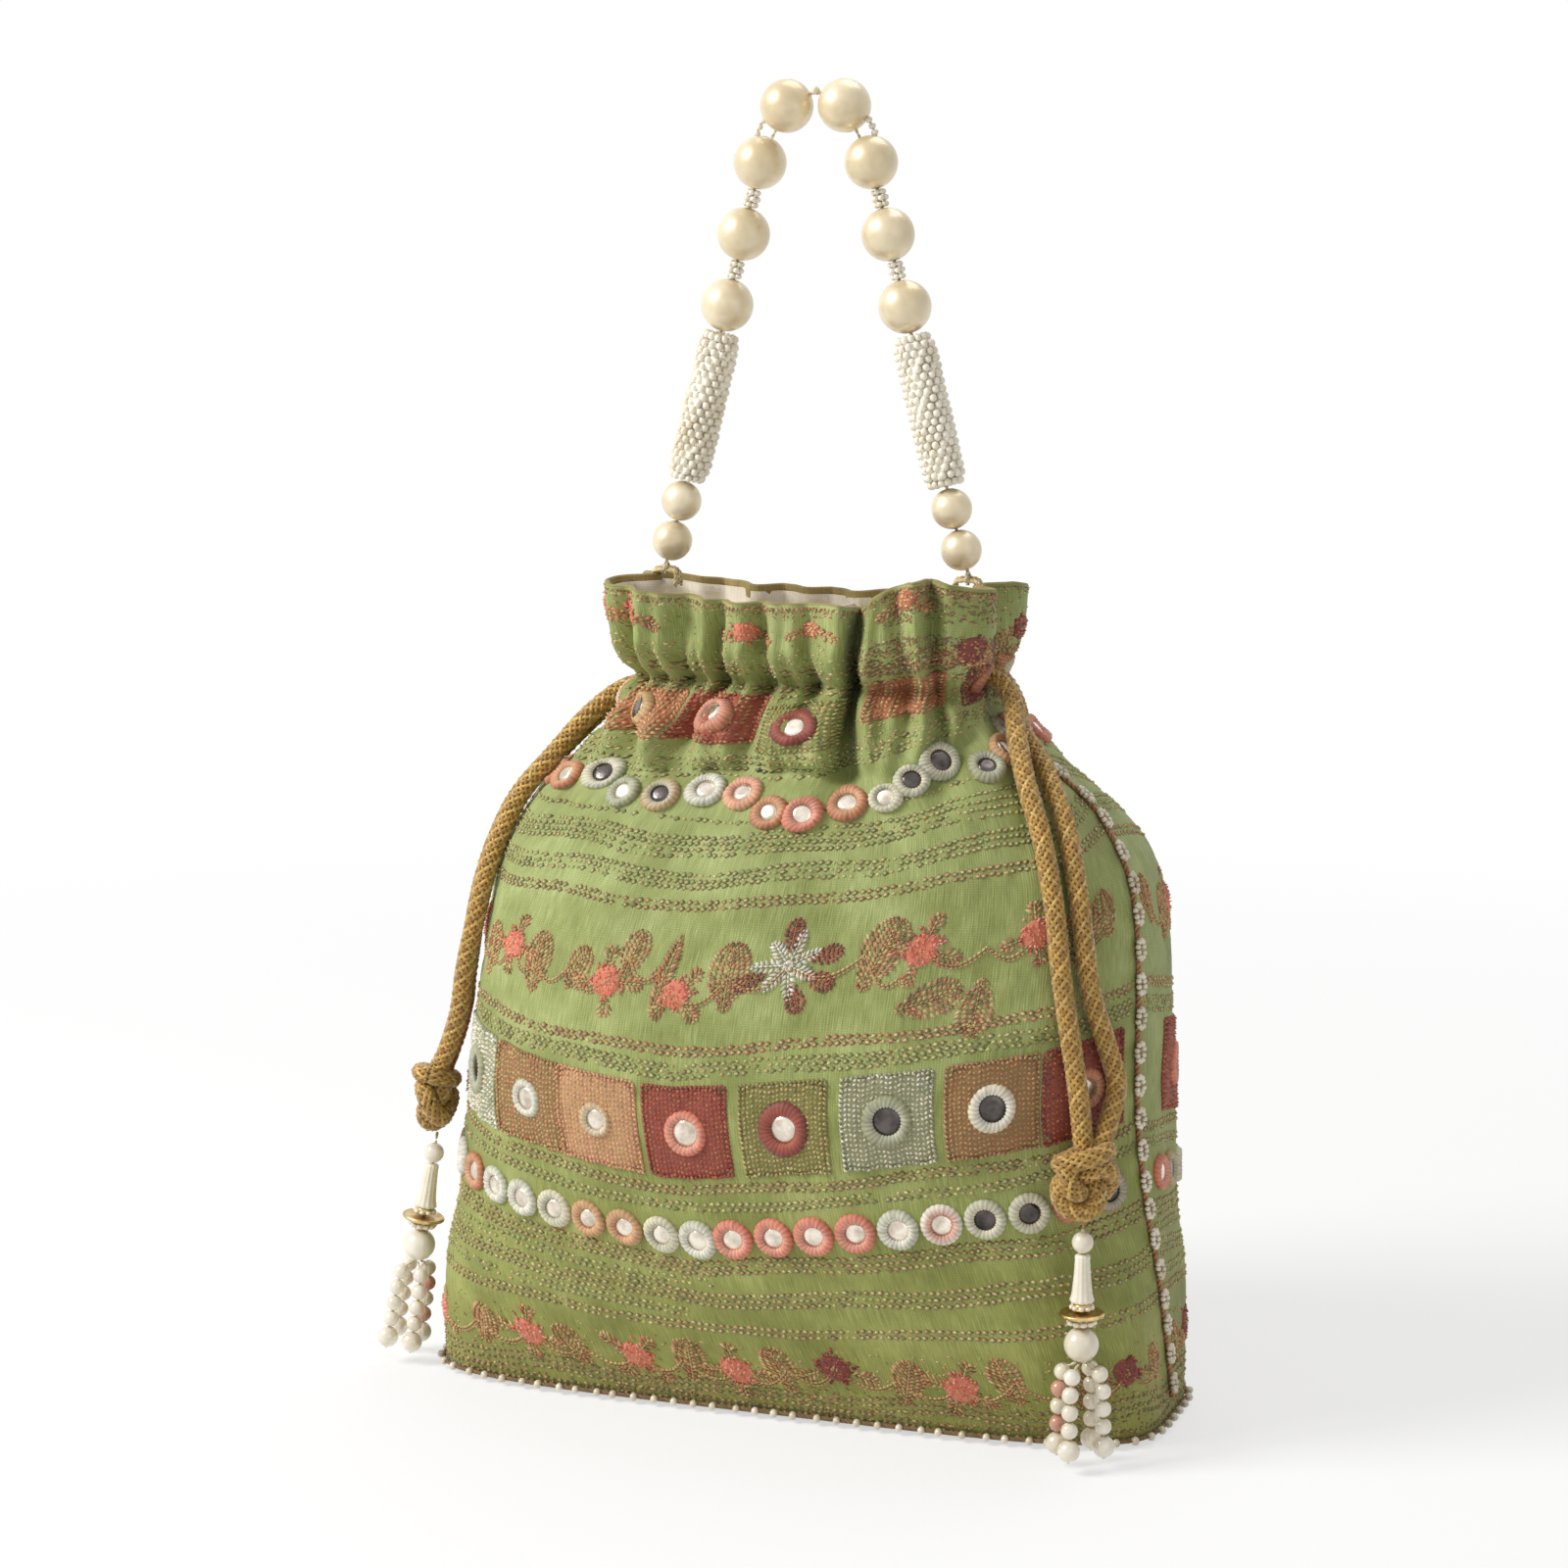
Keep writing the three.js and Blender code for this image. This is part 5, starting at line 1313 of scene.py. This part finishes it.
embroider(
    back_needle,
    squares("red peach green grey wine brown peach red green"),
    [(0.11, 174, 9, 7, "rust", ("tan", "peach"), ("cream", "gold"), False),
     (0.25, 173, 10, 7.5, "red", ("rust", "red"), ("rust", "pink"), False),
     (0.42, 173, 10, 7.5, "brown", ("tan", "brown", "gold"), ("grey", "gold"), True),
     (0.6, 173, 10, 7.5, "olive", ("moss", "leaf", "gold"), ("wine", "red"), False),
     (0.76, 173, 9.5, 7, "rust", ("peach", "tan"), ("cream", "peach"), False),
     (0.92, 174, 9, 7, "wine", ("wine", "brown", "rust"), ("rust", "pink"), True)],
    rings(LOW_RING_PLACES, "coral tan_dim cream tan coral coral grey_dim white rust tan cream coral "
                           "rust cream grey_dim tan coral rust white cream coral cream"),
    rings(HIGH_RING_PLACES, "rust coral cream tan_dim white tan grey_dim rust coral leaf "
                            "cream rust grey_dim coral cream rust tan cream"),
    turned_round(MID_VINE), turned_round(LOW_VINE),
    [(0.1, 192, 4.0, ("wine", "rust")), (0.22, 198, 3.6, ("rust", "coral")),
     (0.4, 197, 3.6, ("coral", "peach")), (0.62, 197.5, 3.4, ("rust", "brown")),
     (0.82, 198.5, 3.8, ("rust", "coral"))])
back_needle.make("back")

# Side trims: little rings of seed beads sewn along a twisted thread over each side seam
SEED_BEAD = bead(1.0, 0.3, 8, 4, 0.86)
TRIM_LOW, TRIM_HIGH, TRIM_ROWS, TRIM_PITCH = 6, 166, 160, 8.0
RING_BEADS, RING_UP, RING_ACROSS, RING_BEAD_SIZE = 10, 2.2, 1.35, 0.74
SEAM_STEP = 0.012
for side, first, second in (("right", front, back), ("left", back, front)):
    beads, cord = Heap(), Heap()
    h = np.linspace(TRIM_LOW, TRIM_HIGH, TRIM_ROWS)
    p = first.at(np.ones(TRIM_ROWS), h)
    a = first.at(np.full(TRIM_ROWS, 1 - SEAM_STEP), h)
    b = second.at(np.full(TRIM_ROWS, SEAM_STEP), h)
    out = unit(np.cross(b - a, np.gradient(p, axis=0)))
    line = p + out * 0.55
    twine(cord, line, 0.75, DYES["clay"] * 0.8)
    along = distances(line)
    count = int(along[-1] / TRIM_PITCH)
    for k in range(count):
        i = int(np.searchsorted(along, (k + 0.5) / count * along[-1]))
        up = unit(line[min(i + 2, TRIM_ROWS - 1)] - line[max(i - 2, 0)])
        normal = unit(out[i] - up * np.dot(out[i], up))
        across = np.cross(up, normal)
        middle = line[i] + normal * 0.75
        for s in range(RING_BEADS):
            t = TURN * s / RING_BEADS + rng.uniform(-0.08, 0.08)
            spot = middle + up * RING_UP * math.cos(t) + across * RING_ACROSS * math.sin(t)
            spot = spot + normal * rng.uniform(-0.1, 0.2)
            way = across * RING_ACROSS * math.cos(t) - up * RING_UP * math.sin(t)
            put(beads, SEED_BEAD, spot, turn_to(way), RING_BEAD_SIZE)
    obj = beads.make("side_trim_beads_" + side, PALE_SEED, "pouch", "seed_beads")
    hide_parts("side_trim_" + side)
    obj = cord.make("side_trim_thread_" + side, YARN, "pouch", "thread")

# Base trim: seed beads along a brown cord round the foot
FOOT_HEIGHT, FOOT_POINTS, FOOT_PITCH = 2.2, 480, 5.3
beads, cord = Heap(), Heap()
ring = wall(FOOT_HEIGHT, np.linspace(0, TURN, FOOT_POINTS, endpoint=False))
way = unit(np.roll(ring, -1, 0) - np.roll(ring, 1, 0))
out = outward(way)
line = ring + out * 0.75 - np.array([0, 0, 0.7])
loop = np.vstack([line, line[:1]])
along = distances(loop)
twine(cord, loop, 0.6, DYES["brown"] * 0.7, 3, 3.4)
count = int(along[-1] / FOOT_PITCH)
for k in range(count):
    i = int(np.searchsorted(along, (k + 0.5) / count * along[-1])) % FOOT_POINTS
    put(beads, SEED_BEAD, line[i] + out[i] * 0.6, turn_to(way[i]), rng.uniform(1.08, 1.22))
obj = beads.make("base_trim_beads", PALE_SEED, "pouch", "seed_beads")
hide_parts("base_trim")
cord.make("base_trim_cord", YARN, "pouch", "thread")


# Handle
def corners_of(node):
    return [np.array(corner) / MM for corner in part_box(node)]


def centre(node):
    low, high = corners_of(node)
    return (low + high) / 2


def ring_point(r, a, z):
    return np.array([r * math.cos(a), r * math.sin(a), z])


PEARL_NAMES = (
    "pearl_four", "pearl_three", "pearl_two", "pearl_one", "small_pearl_upper", "small_pearl_lower")
BIG_PEARL = bead(6.5, 0.8, 40, 26)
SMALL_PEARL = bead(5.0, 0.7, 36, 22)
SLEEVE_ROUNDS, SLEEVE_BEADS, SLEEVE_PITCH, SLEEVE_RADIUS, SLEEVE_CORE = 20, 14, 1.87, 4.45, 16.4
# Rounds of a link between two pearls: height, radius and bead size
LINK_BEADS, LINK_ROUNDS = 6, ((-1.5, 1.25, 0.8), (0, 1.5, 0.86), (1.5, 1.25, 0.8))
CROWN_BEADS = (-1.0, -0.5, 0.0, 0.5, 1.0)
EYE_RADIUS = 1.5
pearls, tubes, links, string = Heap(), Heap(), Heap(), Heap()
runs = {}
for side, hand in (("right", 1), ("left", -1)):
    at = {n: centre(f"{n}_{side}") for n in (*PEARL_NAMES, "beaded_tube")}
    runs[side] = [at[n] for n in PEARL_NAMES]
    way = unit(at["small_pearl_lower"] - at["pearl_three"])
    for n in PEARL_NAMES:
        shape = BIG_PEARL if n.startswith("pearl") else SMALL_PEARL
        put(pearls, shape, at[n], turn_to(way, rng.random() * 6))
    # a sleeve of seed beads worked in staggered rounds over a thread core
    turn = turn_to(way)
    for k in range(SLEEVE_ROUNDS):
        z = (k - (SLEEVE_ROUNDS - 1) / 2) * SLEEVE_PITCH
        swell = SLEEVE_RADIUS - 0.9 * smooth(abs(z), 15.2, 18.4)
        for s in range(SLEEVE_BEADS):
            a = TURN * (s + 0.5 * (k % 2)) / SLEEVE_BEADS
            r = swell + rng.uniform(-0.12, 0.12)
            spot = at["beaded_tube"] + turn @ ring_point(r, a, z + rng.uniform(-0.08, 0.08))
            along_ring = turn @ turn_to(ring_point(1, a + 1.57, 0))
            put(tubes, SEED_BEAD, spot, along_ring, rng.uniform(1.04, 1.16))
    core = [at["beaded_tube"] + way * z for z in np.linspace(-SLEEVE_CORE, SLEEVE_CORE, 30)]
    twine(string, core, 4.8, DYES["white"] * 1.04, 5, 22.0)
    # links: little rounds of seeds between the pearls, and seeds along the outside of the crown
    for upper, lower in (("pearl_three", "pearl_two"), ("pearl_two", "pearl_one")):
        middle = (at[upper] + at[lower]) / 2
        for z, r, size in LINK_ROUNDS:
            for s in range(LINK_BEADS):
                a = TURN * (s + 0.5 * (z != 0)) / LINK_BEADS
                put(links, SEED_BEAD, middle + turn @ ring_point(r, a, z), turn @ turn_to((0, 0, 1)), size)
    between = (at["pearl_four"] + at["pearl_three"]) / 2
    rise = at["pearl_four"] - at["pearl_three"]
    aside = unit(np.cross(rise, (0, 1, 0)))
    aside *= np.sign(aside[0] * hand)
    for t in CROWN_BEADS:
        spot = between + unit(rise) * t * 3.4 + aside * (4.1 - 0.5 * t * t)
        put(links, SEED_BEAD, spot, turn_to(rise), 0.98)
seed = centre("crown_seed")
for y in (-1.1, 0, 1.1):
    put(links, SEED_BEAD, seed + (0, y, 0.4 - 0.3 * abs(y)), turn_to((1, 0, 0)), 0.95)
string_foot = corners_of("handle_string")[0][2]
ends = {}
for side in SIDES:
    eye = np.array([centre(f"handle_stitch_{side}")[0], 0, string_foot + 1.9])
    ends[side] = eye + (0, 0, EYE_RADIUS)
    round_eye = np.linspace(0.5 * math.pi, 2.5 * math.pi, 24)
    ring = [eye + EYE_RADIUS * np.array([0, math.cos(a), math.sin(a)]) for a in round_eye]
    twine(string, ring, 0.42, DYES["cream"])
path = [ends["left"], *runs["left"][::-1], seed, *runs["right"], ends["right"]]
twine(string, path, 0.45, DYES["cream"])
obj = pearls.make("handle_pearls", PEARL, "handle", "pearl")
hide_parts(*[f"{n}_{s}" for s in SIDES for n in PEARL_NAMES])
obj = tubes.make("handle_seed_sleeves", SEED, "handle", "seed_beads")
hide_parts("beaded_tube_right", "beaded_tube_left")
obj = links.make("handle_seed_links", SEED, "handle", "seed_beads")
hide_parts("crown_seed", *[f"link_{n}_{s}" for n in ("upper", "lower") for s in ("right", "left")])
obj = string.make("handle_thread", YARN, "handle", "thread")
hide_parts("handle_string")

# The handle is sewn to each side of the mouth with a bundle of pale thread over the hem
BUNDLE, BUNDLE_DYES = 9, ("straw", "cream", "straw", "tan")
t = np.linspace(-1, 1, 25)
spread = np.abs(t) * 2.2
for side in SIDES:
    heap = Heap()
    low, high = corners_of(f"handle_stitch_{side}")
    mid = (low + high) / 2
    for k in range(BUNDLE):
        off = k - BUNDLE // 2
        y = off * 0.5 + rng.uniform(-0.12, 0.12)
        drop = 2.6 + rng.uniform(0, 1.4)
        half = (high[0] - low[0]) / 2 + 0.1 + 0.05 * (k % 3)
        x = mid[0] + half * np.clip(t * 2.2, -1, 1)
        z = high[2] - 0.4 - drop * np.clip(spread - 1, 0, 1.2) / 1.2 - 0.5 * np.clip(spread, 0, 1) ** 3
        path = np.stack([x, y * (0.5 + 0.55 * np.abs(t)), z - 0.22 * abs(off)], 1)
        twine(heap, path, 0.46, DYES[BUNDLE_DYES[k % 4]], 2, 2.4)
    obj = heap.make(f"handle_sewing_{side}", YARN, "pouch", "thread")
    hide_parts(f"handle_stitch_{side}")

# Tassels
TRUMPET = lathe([
    (0.7, -5.8), (2.5, -5.8), (2.82, -5.5), (2.78, -5.0), (2.5, -4.2), (2.3, -2.9), (2.05, -0.5), (1.86, 2.0),
    (1.72, 4.4), (1.78, 5.1), (1.7, 5.6), (1.2, 5.8), (0.7, 5.8)], 48, 0.045, 12)
SPOOL = lathe([(0.7, -0.9), (1.7, -0.9), (2.1, -0.55), (1.9, 0), (2.1, 0.55), (1.7, 0.9), (0.7, 0.9)], 28)
DISC = lathe([
    (0.7, -0.4), (4.4, -0.4), (5.1, -0.5), (5.4, -0.2), (5.4, 0.2), (5.1, 0.5), (4.4, 0.4), (0.7, 0.4)],
    48, 0.012, 24)
LOW_SPOOL = lathe([(0.7, -1.1), (2.2, -1.1), (2.7, -0.6), (2.45, 0), (2.7, 0.6), (2.2, 1.1), (0.7, 1.1)], 28)
TOP_BEAD = bead(2.6, 0.7, 28, 18)
DROP_PEARL = bead(4.2, 0.7, 36, 22)
STRAND_REACH, END_REACH, STRAND_PITCH = 2.05, 2.7, 4.3
STRAND_BEAD = bead(STRAND_REACH, 0.4, 18, 12)
END_BEAD = bead(END_REACH, 0.4, 20, 12)
# Heights under the knot of the upper and lower spool and of the strands' root
UPPER, LOWER, STRAND_ROOT = -21.7, -25.3, -35.4
# Round each spool: height, radius, number and size of the seed beads
SPOOL_SEEDS = ((UPPER, 2.35, 9, 0.78), (LOWER, 2.85, 10, 0.92))
STRAND_TURNS = (-0.96, -2.18, 0.96, 2.18)
STRAND_BOW = [(1.2, 0), (3.92, -1.6), (4.9, -4), (5.4, -13.92), (5.7, -23.2)]
# Strand and places on it of the two blush beads
BLUSH_STRAND, BLUSH_PLACES = 1, (1, 3)

for side in SIDES:
    at = np.array(KNOTS[side][0], float) + (0, 0, -KNOT_DROP)
    turn = knot_turn(side, True)
    spot = lambda x, y, z: at + turn @ np.array([x, y, z])
    body = "tassel_" + side
    pearl, cap, metal, thin, blush, loop = (Heap() for _ in range(6))
    for heap, shape, z in ((pearl, TOP_BEAD, -6.0), (cap, TRUMPET, -14.7), (metal, SPOOL, UPPER),
                           (metal, DISC, -23.4), (metal, LOW_SPOOL, LOWER), (pearl, DROP_PEARL, -30.9)):
        put(heap, shape, spot(0, 0, z), turn)
    for z, r, n, size in SPOOL_SEEDS:
        for k in range(n):
            put(pearl, SEED_BEAD, spot(*ring_point(r, TURN * k / n, z)), turn, size)
    twine(thin, [spot(0, 0, z) for z in np.linspace(-2.7, STRAND_ROOT, 40)], 0.4, DYES["cream"])
    # the tied end of the knot's yarn that the tassel is sewn on with
    twine(loop, [spot(0, 0, z) for z in np.linspace(-0.4, -2.2, 10)], 0.4, GOLDS[0])
    for k, turned in enumerate(STRAND_TURNS):
        line = [ring_point(r, turned - math.pi / 2, z + STRAND_ROOT) for r, z in STRAND_BOW]
        line = route(line, 0.3)
        along = distances(line)
        twine(thin, [spot(*p) for p in line], 0.36, DYES["cream"])
        end = along[-1] - 3.0
        stops = [end - END_REACH - STRAND_PITCH * i + STRAND_REACH for i in (4, 3, 2, 1)] + [end]
        for n, stop in enumerate(stops):
            p, q = walk(line, along, stop), walk(line, along, stop + 0.5)
            heap = blush if k == BLUSH_STRAND and n in BLUSH_PLACES else pearl
            put(heap, END_BEAD if stop == end else STRAND_BEAD, spot(*p), turn_to(turn @ (p - q)))
    obj = pearl.make(f"tassel_pearls_{side}", PALE_PEARL, body, "pearl")
    strands = [f"tassel_strand_{k}_{side}" for k in (1, 2, 3, 4)]
    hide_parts(f"tassel_bead_{side}", f"tassel_pearl_{side}", *strands)
    blush.make(f"tassel_blush_beads_{side}", BLUSH, body, "pearl")
    obj = cap.make(f"tassel_cap_{side}", SEED, body, "pearl")
    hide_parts(f"tassel_trumpet_{side}")
    obj = metal.make(f"tassel_spacers_{side}", GILT, body, "gilt_spacer")
    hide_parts(f"tassel_upper_rondelle_{side}", f"tassel_disc_{side}", f"tassel_lower_rondelle_{side}")
    obj = thin.make(f"tassel_strings_{side}", YARN, body, "thread")
    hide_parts(f"tassel_thread_{side}")
    obj = loop.make(f"tassel_loop_{side}", GOLD_YARN, f"tassel_link_{side}", "thread")
    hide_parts(f"tassel_link_{side}")
